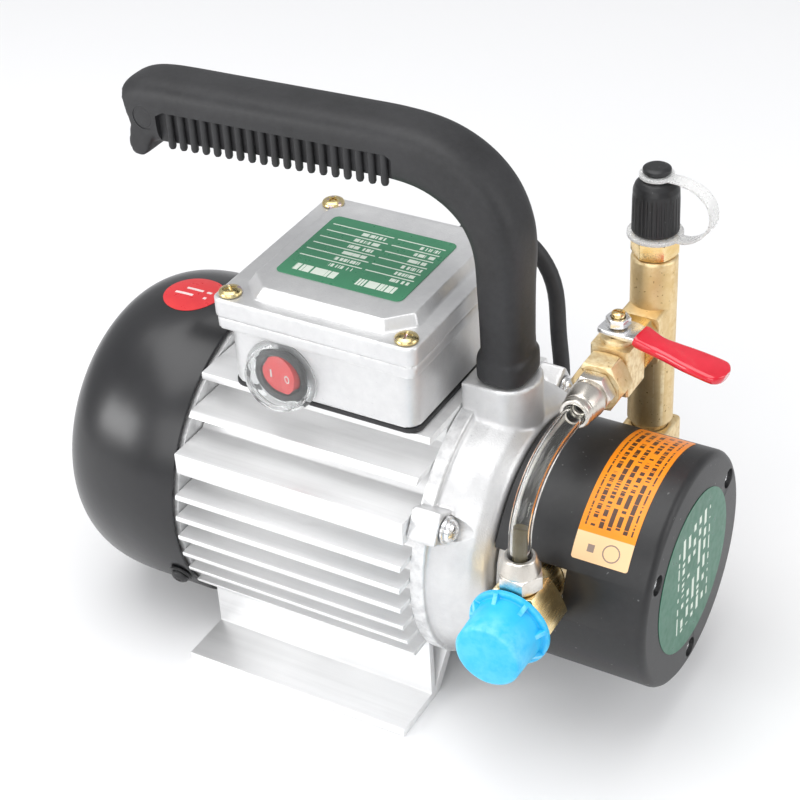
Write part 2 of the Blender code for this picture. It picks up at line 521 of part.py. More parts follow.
body = lathe("pump_body", [(91.7, 41.0), (55.2, 41.0), (55.2, 13.3), (62.0, 13.3), (62.0, 7.0), (91.7, 7.0)], "cast_aluminium", "X", AX, 44, ring=True)
CHAMBER_R, CHAMBER_X = 13.1, 66.0
chamber = [lathe("chamber_a", [(95, 0), (95, CHAMBER_R), (CHAMBER_X, CHAMBER_R), (CHAMBER_X, 0)], None, "X", AX, 66, turn=0.07),
           lathe("chamber_b", [(96, 0), (96, CHAMBER_R), (CHAMBER_X + 0.1, CHAMBER_R), (CHAMBER_X + 0.1, 0)], None, "X", (0, 0, AXIS_Z + GEAR_C), 66, turn=0.11)]
pin_hole = lathe("pin_hole", [(70, 0), (70, 5.0), (60, 5.0), (60, 0)], None, "X", (0, 0, AXIS_Z + GEAR_C), 36, turn=0.19)
ports = [lathe("inlet_port", [(50, 0), (50, 3.6), (8, 3.6), (8, 0)], None, "-Y", (PORT_X, 0, PORT_Z), 36, turn=0.21),
         lathe("outlet_port", [(50, 0), (50, 3.6), (8, 3.6), (8, 0)], None, "Y", (PORT_X, 0, PORT_Z), 36, turn=0.17),
         lathe("inlet_thread", [(60, 0), (60, 8.4), (34, 8.4), (34, 0)], None, "-Y", (PORT_X, 0, PORT_Z), 48, turn=0.13),
         lathe("outlet_thread", [(60, 0), (60, 8.4), (34, 8.4), (34, 0)], None, "Y", (PORT_X, 0, PORT_Z), 48, turn=0.11)]
pump_bolts = [yz(a, 36.5) for a in (90, 210, 330)]
boolean(body, chamber + [pin_hole] + ports)
lathe("shaft_seal", [(61.6, 13.0), (55.6, 13.0), (55.6, 5.9), (61.6, 5.9)], "black_rubber", "X", AX, 24, ring=True)
end = lathe("pump_end_plate", [(99.0, 0), (99.0, 38.0), (97.5, 41.0), (92.0, 41.0), (92.0, 0)], "cast_aluminium", "X", AX, 40)
boolean(end, [lathe("end_seat", [(97.0, 0), (97.0, 5.9), (90, 5.9), (90, 0)], None, "X", (0, 0, AXIS_Z + GEAR_C), 16),
              lathe("end_well", [(95.0, 0), (95.0, 7.0), (90, 7.0), (90, 0)], None, "X", AX, 16)]
        + [box("end_pocket_%d" % k, (90, y - 4.6, z - 4.6), (101, y + 4.6, z + 4.6)) for k, (y, z) in enumerate([yz(a, COVER_SCREW_R) for a in (31.3, 151.3, 271.3)])])
drive = plate("drive_gear", gear_outline(GEAR_C / 2, GEAR_TEETH, 1.6, 2.1, 0.0), 66.4, 91.3, "steel", "X", AX)
boolean(drive, [lathe("drive_bore", [(95, 0), (95, 5.9), (60, 5.9), (60, 0)], None, "X", AX, 24)])
idler_axis = empty("idler_axis", (0, 0, AXIS_Z + GEAR_C))
idler = plate("idler_gear", gear_outline(GEAR_C / 2, GEAR_TEETH, 1.6, 2.1, math.pi / GEAR_TEETH), 66.4, 91.3, "steel", "X", (0, 0, AXIS_Z + GEAR_C))
join(idler, [lathe("idler_pin", [(96.6, 0), (96.6, 4.6), (61, 4.6), (61, 0)], None, "X", (0, 0, AXIS_Z + GEAR_C), 16)])

cover = lathe("pump_cover", [(HEAD_X0, HEAD_R), (HEAD_X1 - 3.0, HEAD_R), (HEAD_X1 - 0.9, HEAD_R - 0.9), (HEAD_X1, HEAD_R - 3.0), (HEAD_X1, 0), (HEAD_X1 - 3.2, 0),
                             (HEAD_X1 - 3.2, 41.9), (HEAD_X0, 41.9)], "black_rubber", "X", AX, 64, ring=True)
cover_at = [yz(a, COVER_SCREW_R) for a in (31.3, 151.3, 271.3)]
join(cover, [lathe("post_%d" % i, [(HEAD_X1 - 1, 0), (HEAD_X1 - 1, 4.0), (HEAD_X0 + 44.3, 4.0), (HEAD_X0 + 44.3, 0)], None, "X", (0, y, z), 36, turn=0.23) for i, (y, z) in enumerate(cover_at)])
boolean(cover, [lathe("recess_%d" % i, [(120, 0), (120, 3.6), (HEAD_X1 - 3.4, 3.6), (HEAD_X1 - 3.4, 1.9), (98, 1.9), (98, 0)], None, "X", (0, y, z), 36, turn=0.09) for i, (y, z) in enumerate(cover_at)]
        + [box("notch_front", (HEAD_X0 - 2, -50, PORT_Z - 9.6), (PORT_X + 9.6, -30, PORT_Z + 9.6)),
           box("notch_back", (HEAD_X0 - 2, 30, PORT_Z - 9.6), (PORT_X + 9.6, 50, PORT_Z + 9.6))])
for i, (y, z) in enumerate(cover_at):
    screw("cover_screw_%d" % (i + 1), 3.1, 1.7, 1.5, 12.4, "zinc", "X", (HEAD_X1 - 3.1, y, z), turn=0.4 * i)

# ---- inlet side ---------------------------------------------------------
inlet = plate("inlet_body", hexagon(25.0, True), 49.2, 65.4, "brass", "-Y", (PORT_X, 0, PORT_Z))
join(inlet, [lathe("inlet_stub", [(80.6, 0), (80.6, 9.6), (79.6, 10.6), (66.0, 10.6), (60, 10.6), (42.0, 8.1), (34.6, 8.1), (34.6, 0)], None, "-Y", (PORT_X, 0, PORT_Z), 24)])
boolean(inlet, [lathe("inlet_bore", [(90, 0), (90, 6.0), (40, 5.0), (30, 5.0), (30, 0)], None, "-Y", (PORT_X, 0, PORT_Z), 42, turn=0.1),
                lathe("tee_bore", [(30, 0), (30, 4.95), (1.3, 4.95), (1.3, 0)], None, "Z", (PORT_X, INLET_Y, PORT_Z), 42, turn=0.17)])
low = plate("lower_fitting", hexagon(15.0), 13.2, 19.4, "nickel", "Z", (PORT_X, INLET_Y, PORT_Z))
join(low, [lathe("low_nut", [(25.6, 0), (25.6, 5.6), (23.6, 7.0), (18.8, 7.6), (18.0, 6.4), (12.8, 6.4), (12.7, 4.6), (4.0, 4.6), (4.0, 0)], None, "Z", (PORT_X, INLET_Y, PORT_Z), 20)])
boolean(low, [lathe("low_bore", [(27.0, 0), (27.0, 4.4), (20.0, 4.4), (20.0, 2.4), (0, 2.4), (0, 0)], None, "Z", (PORT_X, INLET_Y, PORT_Z), 16)])
cap_axis = empty("inlet_cap_axis", (PORT_X, -66.0, PORT_Z))
lathe("inlet_cap", [(84.6, 0), (84.6, 11.3), (83.8, 12.4), (70.4, 12.9), (69.6, 15.4), (66.0, 15.4), (66.0, 11.0), (82.2, 11.0), (82.2, 0)], "blue_plastic", "-Y",
            (PORT_X, 0, PORT_Z), 36)
# sight tube between the two fittings
TUBE_A = Vector((PORT_X, INLET_Y, PORT_Z + 20.6))
TUBE_B = Vector((PILLAR_X, -10.4, VALVE_Z))
tube_knots = [TUBE_A, TUBE_A + Vector((0, 0, 8)), TUBE_A + Vector((0.0, 1.4, 17.0)), (PORT_X, -51.0, 119.4), (PORT_X, -41.6, 126.0), (PORT_X, -31.0, 129.2), TUBE_B + Vector((0, -9, 0.1)), TUBE_B]
path = smooth_path(tube_knots, 3.4)
sight = tube("sight_tube", path, 4.05, "clear_plastic", 2)
first, last = path[0] - path[1], path[-1] - path[-2]
boolean(sight, [tube("sight_bore", [path[0] + first * 0.6] + path[1:-1] + [path[-1] + last * 0.6], 2.7, None, 1)])

# ---- ball valve ---------------------------------------------------------
V = (PILLAR_X, 0, VALVE_Z)
valve = box("valve_body", (PILLAR_X - 7.6, VALVE_Y - 7.8, VALVE_Z - 9.0), (PILLAR_X + 7.6, VALVE_Y + 7.8, VALVE_Z + 10.2), "brass")
b = valve.modifiers.new("Bevel", "BEVEL")
b.width, b.segments = 1.2 * MM, 2
join(valve, [lathe("stem_boss", [(12.6, 0), (12.6, 6.2), (12.2, 6.6), (8.0, 6.6), (8.0, 0)], None, "Z", (PILLAR_X, VALVE_Y, VALVE_Z), 44, turn=0.15),
             plate("valve_hex", hexagon(18.2), -VALVE_Y + 8.8, -VALVE_Y + 18.4, None, "-Y", (PILLAR_X, 0, VALVE_Z)),
             lathe("valve_neck", [(-VALVE_Y + 14, 0), (-VALVE_Y + 14, 7.0), (-VALVE_Y - 7.9, 7.0), (-VALVE_Y - 8.0, 6.3), (-VALVE_Y - 18.4, 6.3), (-VALVE_Y - 18.5, 0)], None, "-Y", (PILLAR_X, 0, VALVE_Z), 20)])
boolean(valve, [lathe("valve_bore", [(20, 0), (20, 4.9), (-VALVE_Y + 9, 4.9), (-VALVE_Y + 8, 3.2), (-60, 3.2), (-60, 0)], None, "-Y", (PILLAR_X, 0, VALVE_Z), 44, turn=0.13),
                lathe("ball_seat", [(6.6 * math.cos(math.radians(a)), 6.6 * math.sin(math.radians(a))) for a in range(0, 181, 30)], None, "Z", (PILLAR_X, VALVE_Y, VALVE_Z), 44, turn=0.21),
                lathe("stem_bore", [(20, 0), (20, 3.0), (0.3, 3.0), (0.3, 0)], None, "Z", (PILLAR_X, VALVE_Y, VALVE_Z), 44, turn=0.07)])
valve_axis = empty("valve_axis", (PILLAR_X, VALVE_Y, VALVE_Z))
ball = lathe("valve_ball", [(21.6, 0), (21.6, 2.2), (21.2, 2.6), (5.4, 2.6)] + [(6.2 * math.cos(math.radians(a)), 6.2 * math.sin(math.radians(a))) for a in range(34, 181, 18)][:-1] + [(-6.2, 0)],
             "zinc", "Z", (PILLAR_X, VALVE_Y, VALVE_Z), 20)
boolean(ball, [lathe("ball_hole", [(12, 0), (12, 2.9), (-12, 2.9), (-12, 0)], None, "X", (PILLAR_X, VALVE_Y, VALVE_Z), 14)])
nut = plate("stem_nut", hexagon(8.0), 16.4, 19.6, "zinc", "Z", (PILLAR_X, VALVE_Y, VALVE_Z), 0.3)
boolean(nut, [lathe("nut_bore", [(25, 0), (25, 2.9), (10, 2.9), (10, 0)], None, "Z", (PILLAR_X, VALVE_Y, VALVE_Z), 16)])
# lever: bent strip pointing along +X when the valve is closed
LEVER_TURN = math.radians(-6.0)


def strip(name, stations, thick, mat):
    """Strip through (distance, height, half width) stations."""
    rings = []
    for i, (d, h, w) in enumerate(stations):
        a = stations[max(i - 1, 0)]
        c = stations[min(i + 1, len(stations) - 1)]
        t = Vector((c[0] - a[0], 0, c[1] - a[1])).normalized()
        nn = Vector((-t.z, 0, t.x)) * thick / 2
        rings.append([(d - nn.x, -w, h - nn.z), (d - nn.x, w, h - nn.z), (d + nn.x, w, h + nn.z), (d + nn.x, -w, h + nn.z)])
    o = loft(name, rings, mat)
    o.rotation_euler = (0, 0, LEVER_TURN)
    o.location = Vector((PILLAR_X, VALVE_Y, VALVE_Z)) * MM
    return o


lever = strip("valve_lever", [(-6.0, 14.6, 4.2), (-4.5, 14.6, 5.4), (4.5, 14.6, 5.6), (8.0, 14.4, 5.0), (11.0, 13.5, 4.6), (16.0, 12.1, 4.4), (40.0, 9.4, 4.4)], 1.9, "zinc")
boolean(lever, [lathe("lever_hole", [(25, 0), (25, 2.9), (10, 2.9), (10, 0)], None, "Z", (PILLAR_X, VALVE_Y, VALVE_Z), 16)])
sleeve = strip("lever_sleeve", [(8.8, 14.2, 5.6), (11.0, 13.5, 5.6), (16.0, 12.1, 5.0), (22.0, 11.4, 5.4), (34.0, 10.1, 6.6), (40.0, 9.4, 6.6), (42.6, 9.0, 5.2), (43.6, 8.8, 3.0)], 4.6, "red_vinyl")
bore = strip("sleeve_bore", [(4.0, 15.2, 5.0), (8.0, 14.4, 5.0), (11.0, 13.5, 4.75), (16.0, 12.1, 4.7), (40.6, 9.34, 4.7)], 2.4, None)
boolean(sleeve, [bore])

up = plate("upper_fitting", hexagon(14.0), -3.4, 2.0, "nickel", "-Y", (PILLAR_X, 0, VALVE_Z))
join(up, [lathe("up_nut", [(15.0, 0), (15.0, 5.4), (13.0, 6.8), (4.0, 7.3), (3.2, 6.2), (1.4, 6.2), (-3.2, 6.2), (-3.3, 4.6), (-11.0, 4.6), (-11.0, 0)], None, "-Y", (PILLAR_X, 0, VALVE_Z), 20)])
boolean(up, [lathe("up_bore", [(16.0, 0), (16.0, 4.4), (9.8, 4.4), (9.8, 2.4), (-14, 2.4), (-14, 0)], None, "-Y", (PILLAR_X, 0, VALVE_Z), 16)])

# adapter between the valve and the pillar
adapter = plate("valve_adapter", hexagon(18.6), -VALVE_Y - 18.2, -VALVE_Y - 8.2, "brass", "-Y", (PILLAR_X, 0, VALVE_Z))
boolean(adapter, [lathe("adapter_bore", [(0, 0), (0, 6.7), (-60, 6.7), (-60, 0)], None, "-Y", (PILLAR_X, 0, VALVE_Z), 20)])

# ---- outlet pillar ------------------------------------------------------
pillar = lathe("discharge_pillar", [(PILLAR_TOP, 0), (PILLAR_TOP, 8.0), (PILLAR_TOP - 0.8, PILLAR_R), (86.0, PILLAR_R), (84.0, 7.0), (75.4, 6.6), (75.4, 0)], "brass", "Z",
               (PILLAR_X, PILLAR_Y, 0), 32)
join(pillar, [box("pillar_boss", (PILLAR_X - 8.0, 40.6, VALVE_Z - 10.5), (PILLAR_X + 8.0, PILLAR_Y, VALVE_Z + 9.0))])
boolean(pillar, [lathe("pillar_bore", [(170, 0), (170, 6.9), (PILLAR_TOP - 9.0, 6.9), (PILLAR_TOP - 9.0, 3.6), (60, 3.6), (60, 0)], None, "Z", (PILLAR_X, PILLAR_Y, 0), 20),
                 lathe("pillar_port", [(-38, 0), (-38, 3.2), (-PILLAR_Y, 3.2), (-PILLAR_Y, 0)], None, "-Y", (PILLAR_X, 0, VALVE_Z), 16)])
elbow = box("outlet_elbow", (PILLAR_X - 9.4, PILLAR_Y - 7.0, PORT_Z - 9.4), (PILLAR_X + 9.4, PILLAR_Y + 9.4, PORT_Z + 9.6), "brass", 1.6, 2)
join(elbow, [lathe("elbow_stub", [(PILLAR_Y - 2, 0), (PILLAR_Y - 2, 8.1), (34.6, 8.1), (34.6, 0)], None, "Y", (PORT_X, 0, PORT_Z), 20)])
boolean(elbow, [lathe("elbow_thread", [(90, 0), (90, 7.3), (75.0, 7.3), (75.0, 3.6), (PORT_Z - 1, 3.6), (PORT_Z - 1, 0)], None, "Z", (PILLAR_X, PILLAR_Y, 0), 20),
                lathe("elbow_bore", [(PILLAR_Y, 0), (PILLAR_Y, 4.4), (30, 4.4), (30, 0)], None, "Y", (PORT_X, 0, PORT_Z), 16)])
nipple = plate("outlet_nipple", hexagon(15.6), PILLAR_TOP + 0.4, PILLAR_TOP + 7.6, "brass", "Z", (PILLAR_X, PILLAR_Y, 0), 0.25)
join(nipple, [lathe("nipple_thread", [(PILLAR_TOP + 24, 0), (PILLAR_TOP + 24, 4.8), (PILLAR_TOP + 21, 6.8), (PILLAR_TOP + 10.0, 6.8), (PILLAR_TOP + 9.6, 6.2), (PILLAR_TOP - 1, 6.2), (PILLAR_TOP - 1.2, 6.6),
                                      (PILLAR_TOP - 8.6, 6.6), (PILLAR_TOP - 8.6, 0)], None, "Z", (PILLAR_X, PILLAR_Y, 0), 20)])
boolean(nipple, [lathe("nipple_bore", [(200, 0), (200, 3.6), (140, 3.6), (140, 0)], None, "Z", (PILLAR_X, PILLAR_Y, 0), 16)])
CAP_Z = PILLAR_TOP + 10.2
outlet_axis = empty("outlet_cap_axis", (PILLAR_X, PILLAR_Y, CAP_Z))
ocap = lathe("outlet_cap", [(25.8, 0), (25.8, 4.4), (25.0, 5.2), (23.6, 5.2), (23.4, 3.7), (21.2, 3.7), (21.0, 6.0), (19.0, 8.0), (16.8, 8.5), (12.6, 8.6), (0.5, 8.8), (0.0, 8.4), (0.0, 7.1), (15.4, 7.1), (16.4, 0)],
             "black_rubber", "Z", (PILLAR_X, PILLAR_Y, CAP_Z), 32)
# strap: ring round the nipple and ring under the cap's button, one bent band
ring_low = lathe("cap_strap", [(PILLAR_TOP + 9.7, 10.4), (PILLAR_TOP + 8.2, 10.4), (PILLAR_TOP + 8.2, 7.3), (PILLAR_TOP + 9.7, 7.3)], "milky_plastic", "Z", (PILLAR_X, PILLAR_Y, 0), 28, ring=True)
ring_top = lathe("strap_ring", [(CAP_Z + 22.9, 6.4), (CAP_Z + 21.7, 6.4), (CAP_Z + 21.7, 4.2), (CAP_Z + 22.9, 4.2)], None, "Z", (PILLAR_X, PILLAR_Y, 0), 24, ring=True)
band_knots = [(9.0, 8.95), (14.0, 9.6), (20.0, 13.6), (23.6, 20.0), (22.6, 26.6), (17.6, 31.0), (11.0, 32.6), (6.0, 32.5)]
band_path = smooth_path([(x, 0, PILLAR_TOP + z) for x, z in band_knots], 3.5)
band_rings = []
for i, p in enumerate(band_path):
    t = (band_path[min(i + 1, len(band_path) - 1)] - band_path[max(i - 1, 0)]).normalized()
    nn = Vector((-t.z, 0, t.x)) * 0.5
    band_rings.append([(p.x - nn.x, -3.0, p.z - nn.z), (p.x - nn.x, 3.0, p.z - nn.z), (p.x + nn.x, 3.0, p.z + nn.z), (p.x + nn.x, -3.0, p.z + nn.z)])
band = loft("strap_band", band_rings, None)
band.location = Vector((PILLAR_X, PILLAR_Y, 0)) * MM
band.rotation_euler = (0, 0, math.radians(-8))
join(ring_low, [ring_top, band])

# ---- parenting, datum and shading --------------------------------------
root = empty("pump_root", (0, 0, 0))
GROUPS = {shaft_axis: ("rotor_core", "motor_shaft", "cooling_fan", "drive_gear"), idler_axis: ("idler_gear",),
          rocker_axis: ("switch_rocker",), cap_axis: ("inlet_cap",), outlet_axis: ("outlet_cap", "cap_strap"),
          valve_axis: ("valve_ball", "stem_nut", "valve_lever", "lever_sleeve")}
bpy.context.view_layer.update()
for axis, names in GROUPS.items():
    for nm in names:
        o = bpy.data.objects[nm]
        o.parent = axis
        o.matrix_parent_inverse = axis.matrix_world.inverted()
bpy.context.view_layer.update()
for o in list(PARTS.objects) + list(CUTTERS.objects):
    if o.parent is None and o is not root:
        o.parent = root
root.location = [d * MM for d in DATUM]
bpy.context.view_layer.update()
for o in PARTS.objects:
    if o.type == "MESH":
        o.data.shade_smooth()
        o.data.set_sharp_from_angle(angle=math.radians(35))
        for m in o.modifiers:
            m.show_render = m.show_viewport
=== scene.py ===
import json
import math
import bpy
import bmesh
from mathutils import Vector, Matrix, noise as mnoise


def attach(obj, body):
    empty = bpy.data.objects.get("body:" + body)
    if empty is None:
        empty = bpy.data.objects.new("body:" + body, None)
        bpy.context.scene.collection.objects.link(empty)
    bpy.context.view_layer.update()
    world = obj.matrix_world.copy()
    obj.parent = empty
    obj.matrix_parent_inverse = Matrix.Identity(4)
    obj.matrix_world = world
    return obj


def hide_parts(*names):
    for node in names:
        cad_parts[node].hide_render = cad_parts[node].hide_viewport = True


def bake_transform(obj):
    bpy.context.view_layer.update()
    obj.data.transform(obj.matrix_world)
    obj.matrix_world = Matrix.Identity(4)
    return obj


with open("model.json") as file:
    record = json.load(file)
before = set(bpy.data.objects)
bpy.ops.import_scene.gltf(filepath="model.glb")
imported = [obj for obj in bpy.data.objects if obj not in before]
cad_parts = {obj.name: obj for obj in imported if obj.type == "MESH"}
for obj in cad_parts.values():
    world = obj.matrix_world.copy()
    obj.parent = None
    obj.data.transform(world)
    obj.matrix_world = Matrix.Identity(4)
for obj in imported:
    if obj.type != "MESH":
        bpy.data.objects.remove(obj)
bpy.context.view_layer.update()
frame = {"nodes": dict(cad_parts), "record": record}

MM = 0.001
D = Vector((8.536, 8.85, 1.2))          # part coordinates (mm) to the row frame
SCENE = bpy.context.scene

# ---- the part's dimensions, in millimetres ---------------------------------
AXIS_Z = 63.0
FRAME_X0, FRAME_X1 = -70.6, 27.7
BARREL_R, BARREL_IN = 52.0, 46.8
FIN_R, FIN_T = 63.9, 2.2
FIN_Z = (106.6, 77.5, 68.3, 59.2, 50.0, 40.9, 31.7)
RAIL_Z, RAIL_H, RAIL_Y = 91.4, 9.4, 59.0
FLOOR = -1.2
FOOT_HALF, FOOT_T, WEB_Y = 66.9, 2.2, 44.6
COWL_R, COWL_X0, COWL_CYL, COWL_DOME = 63.6, -72.4, 25.5, 37.5
BELL_R, BELL_X1 = 53.9, 54.4
BOLT_R = 56.7
BOX_X0, BOX_X1, BOX_Y = -55.4, 23.2, 38.2
BOX_Z0, BOX_Z1, BOX_Z2 = 121.8, 146.0, 150.9
LID_X0, LID_X1, LID_Y, LID_Z = -58.2, 25.9, 41.6, 158.9
LID_SCREW_X, LID_SCREW_Y = (-52.7, 20.4), 36.1
HEAD_R, HEAD_X0, HEAD_X1 = 45.3, 55.0, 115.1
COVER_SCREW_R = 38.2
PORT_X, PORT_Z, INLET_Y = 74.0, 73.0, -58.0
PILLAR_X, PILLAR_Y, PILLAR_R, PILLAR_TOP = 74.2, 54.0, 8.8, 158.5
VALVE_Y, VALVE_Z = 22.0, 130.0
GRIP_X = 41.0
SWITCH_X, SWITCH_Z = -31.6, 131.2
GLAND_X, GLAND_Z = -16.0, 135.0
CORD_D = 7.0
AX = (0, 0, AXIS_Z)

# ---- materials --------------------------------------------------------------


class Nodes:
    """Short forms for a material's node tree."""

    def __init__(self, name):
        self.mat = bpy.data.materials.new(name)
        self.mat.use_nodes = True
        self.nt = self.mat.node_tree
        self.bsdf = self.nt.nodes["Principled BSDF"]

    def add(self, kind, **props):
        n = self.nt.nodes.new("ShaderNode" + kind)
        for k, v in props.items():
            setattr(n, k, v)
        return n

    def link(self, a, b):
        self.nt.links.new(a, b)

    def coords(self, scale=(1, 1, 1), which="Object", rot=(0, 0, 0)):
        tc, mp = self.add("TexCoord"), self.add("Mapping")
        mp.inputs["Scale"].default_value = scale
        mp.inputs["Rotation"].default_value = rot
        self.link(tc.outputs[which], mp.inputs["Vector"])
        return mp.outputs[0]

    def noise(self, vec, scale, detail=3.0, rough=0.55, dist=0.0):
        n = self.add("TexNoise")
        n.inputs["Scale"].default_value = scale
        n.inputs["Detail"].default_value = detail
        n.inputs["Roughness"].default_value = rough
        n.inputs["Distortion"].default_value = dist
        self.link(vec, n.inputs["Vector"])
        return n.outputs["Fac"]

    def ramp(self, fac, lo, hi, a=0.0, b=1.0):
        n = self.add("MapRange")
        n.inputs["From Min"].default_value = lo
        n.inputs["From Max"].default_value = hi
        n.inputs["To Min"].default_value = a
        n.inputs["To Max"].default_value = b
        self.link(fac, n.inputs["Value"])
        return n.outputs[0]

    def mix(self, fac, a, b, mode="MIX"):
        n = self.add("Mix", data_type="RGBA", blend_type=mode)
        if isinstance(fac, float):
            n.inputs[0].default_value = fac
        else:
            self.link(fac, n.inputs[0])
        for v, s in ((a, n.inputs[6]), (b, n.inputs[7])):
            if isinstance(v, (tuple, list)):
                s.default_value = (*v[:3], 1.0)
            else:
                self.link(v, s)
        return n.outputs[2]

    def math(self, op, a, b=0.0, c=0.0):
        n = self.add("Math", operation=op)
        for i, v in enumerate((a, b, c)):
            if isinstance(v, (int, float)):
                n.inputs[i].default_value = v
            else:
                self.link(v, n.inputs[i])
        return n.outputs[0]

    def bump(self, height, distance, strength=1.0, normal=None):
        n = self.add("Bump")
        n.inputs["Distance"].default_value = distance
        n.inputs["Strength"].default_value = strength
        self.link(height, n.inputs["Height"])
        if normal is not None:
            self.link(normal, n.inputs["Normal"])
        return n.outputs[0]


def surface(name, c1, c2, r1, r2, metal=0.0, tone=45.0, grain=1800.0, depth=0.03, wave=0.0, wave_scale=90.0,
            stretch=(1, 1, 1), coat=0.0, coat_rough=0.1, spec=0.5, edge=None, fleck=None, subsurface=0.0, sheen=0.0):
    """Procedural surface: two tones, uneven gloss, fine grain, slow waviness, worn edges and flecks."""
    n = Nodes(name)
    b = n.bsdf
    base = n.coords(stretch)
    plain = n.coords()
    big = n.noise(plain, tone, 4.0, 0.6)
    fine = n.noise(base, grain, 2.0, 0.6)
    mid = n.noise(base, grain * 0.18, 3.0, 0.6)
    blend = n.ramp(n.math("ADD", n.math("MULTIPLY", big, 0.65), n.math("MULTIPLY", mid, 0.35)), 0.36, 0.64)
    col = n.mix(blend, c1, c2)
    if fleck:
        dots = n.noise(plain, fleck[1], 1.0, 0.5)
        col = n.mix(n.ramp(dots, fleck[2], fleck[2] + 0.05), col, fleck[0])
    if edge:
        geo = n.add("NewGeometry")
        worn = n.ramp(geo.outputs["Pointiness"], 0.515, 0.56)
        worn = n.math("MULTIPLY", worn, n.ramp(mid, 0.35, 0.6))
        col = n.mix(worn, col, edge)
    n.link(col, b.inputs["Base Color"])
    n.link(n.ramp(n.math("ADD", n.math("MULTIPLY", big, 0.5), n.math("MULTIPLY", fine, 0.5)), 0.3, 0.7, r1, r2), b.inputs["Roughness"])
    b.inputs["Metallic"].default_value = metal
    b.inputs["Specular IOR Level"].default_value = spec
    b.inputs["Coat Weight"].default_value = coat
    b.inputs["Coat Roughness"].default_value = coat_rough
    if subsurface:
        b.inputs["Subsurface Weight"].default_value = subsurface
        b.inputs["Subsurface Scale"].default_value = 0.002
    if sheen:
        b.inputs["Sheen Weight"].default_value = sheen
    nrm = n.bump(fine, depth * MM, 1.0)
    if wave:
        nrm = n.bump(n.noise(plain, wave_scale, 2.0, 0.5), wave * MM, 1.0, nrm)
    n.link(nrm, b.inputs["Normal"])
    return n.mat


M = {}
M["cast_aluminium"] = surface("cast_aluminium", (0.66, 0.66, 0.665), (0.75, 0.75, 0.75), 0.34, 0.5, 0.66, 30, 1500, 0.09, 0.10, 160,
                              edge=(0.86, 0.86, 0.86), fleck=((0.60, 0.60, 0.61), 900, 0.74))
M["extruded_aluminium"] = surface("extruded_aluminium", (0.82, 0.82, 0.82), (0.89, 0.89, 0.89), 0.30, 0.46, 0.55, 26, 1500, 0.03, 0.02, 60,
                                  stretch=(0.03, 1, 1), edge=(0.92, 0.92, 0.92))
M["black_paint"] = surface("black_paint", (0.010, 0.010, 0.011), (0.014, 0.014, 0.016), 0.30, 0.36, 0.0, 20, 900, 0.006, 0.02, 260, coat=0.25, coat_rough=0.22)
M["black_rubber"] = surface("black_rubber", (0.016, 0.016, 0.017), (0.028, 0.028, 0.030), 0.44, 0.60, 0.0, 40, 2400, 0.035, 0.02, 120, spec=0.45)
M["black_plastic"] = surface("black_plastic", (0.012, 0.012, 0.013), (0.020, 0.020, 0.021), 0.36, 0.48, 0.0, 24, 2200, 0.022, 0.03, 90, spec=0.5, fleck=((0.12, 0.12, 0.12), 620, 0.745))
M["brass"] = surface("brass", (0.72, 0.52, 0.25), (0.82, 0.64, 0.36), 0.36, 0.52, 0.85, 60, 2100, 0.035, 0.02, 90, edge=(0.93, 0.78, 0.50), fleck=((0.40, 0.25, 0.10), 700, 0.70))
M["brass_cut"] = surface("brass_cut", (0.76, 0.52, 0.20), (0.88, 0.66, 0.32), 0.18, 0.32, 1.0, 90, 1600, 0.015, 0.0, 90, stretch=(1, 0.06, 1), edge=(0.96, 0.84, 0.55))
M["nickel"] = surface("nickel", (0.62, 0.58, 0.52), (0.76, 0.72, 0.66), 0.24, 0.36, 1.0, 70, 1900, 0.010, 0.02, 120, edge=(0.85, 0.83, 0.80))
M["zinc"] = surface("zinc", (0.78, 0.78, 0.79), (0.88, 0.88, 0.88), 0.16, 0.30, 0.88, 120, 1900, 0.012, 0.02, 120)
M["yellow_zinc"] = surface("yellow_zinc", (0.66, 0.49, 0.20), (0.78, 0.70, 0.42), 0.20, 0.34, 1.0, 260, 1900, 0.012, 0.0, 120, fleck=((0.55, 0.42, 0.48), 260, 0.60))
M["steel"] = surface("steel", (0.40, 0.40, 0.41), (0.52, 0.52, 0.52), 0.28, 0.42, 1.0, 60, 1200, 0.02, 0.0, 90, stretch=(1, 0.1, 0.1))
M["copper"] = surface("copper", (0.45, 0.16, 0.06), (0.62, 0.28, 0.11), 0.30, 0.44, 0.9, 90, 700, 0.15, 0.0, 90, stretch=(0.2, 1, 1))
M["blue_plastic"] = surface("blue_plastic", (0.015, 0.47, 0.83), (0.03, 0.54, 0.88), 0.34, 0.46, 0.0, 50, 1500, 0.018, 0.05, 120, subsurface=0.15, edge=(0.20, 0.66, 0.93))
M["red_vinyl"] = surface("red_vinyl", (0.60, 0.004, 0.02), (0.72, 0.012, 0.035), 0.10, 0.18, 0.0, 60, 900, 0.006, 0.10, 130, coat=0.6, coat_rough=0.06)
M["red_plastic"] = surface("red_plastic", (0.72, 0.006, 0.01), (0.82, 0.02, 0.02), 0.18, 0.28, 0.0, 90, 1500, 0.006, 0.02, 130, coat=0.2, subsurface=0.1)
M["white_plastic"] = surface("white_plastic", (0.70, 0.70, 0.67), (0.80, 0.80, 0.77), 0.35, 0.5, 0.0, 50, 1500, 0.02, 0.02, 90)


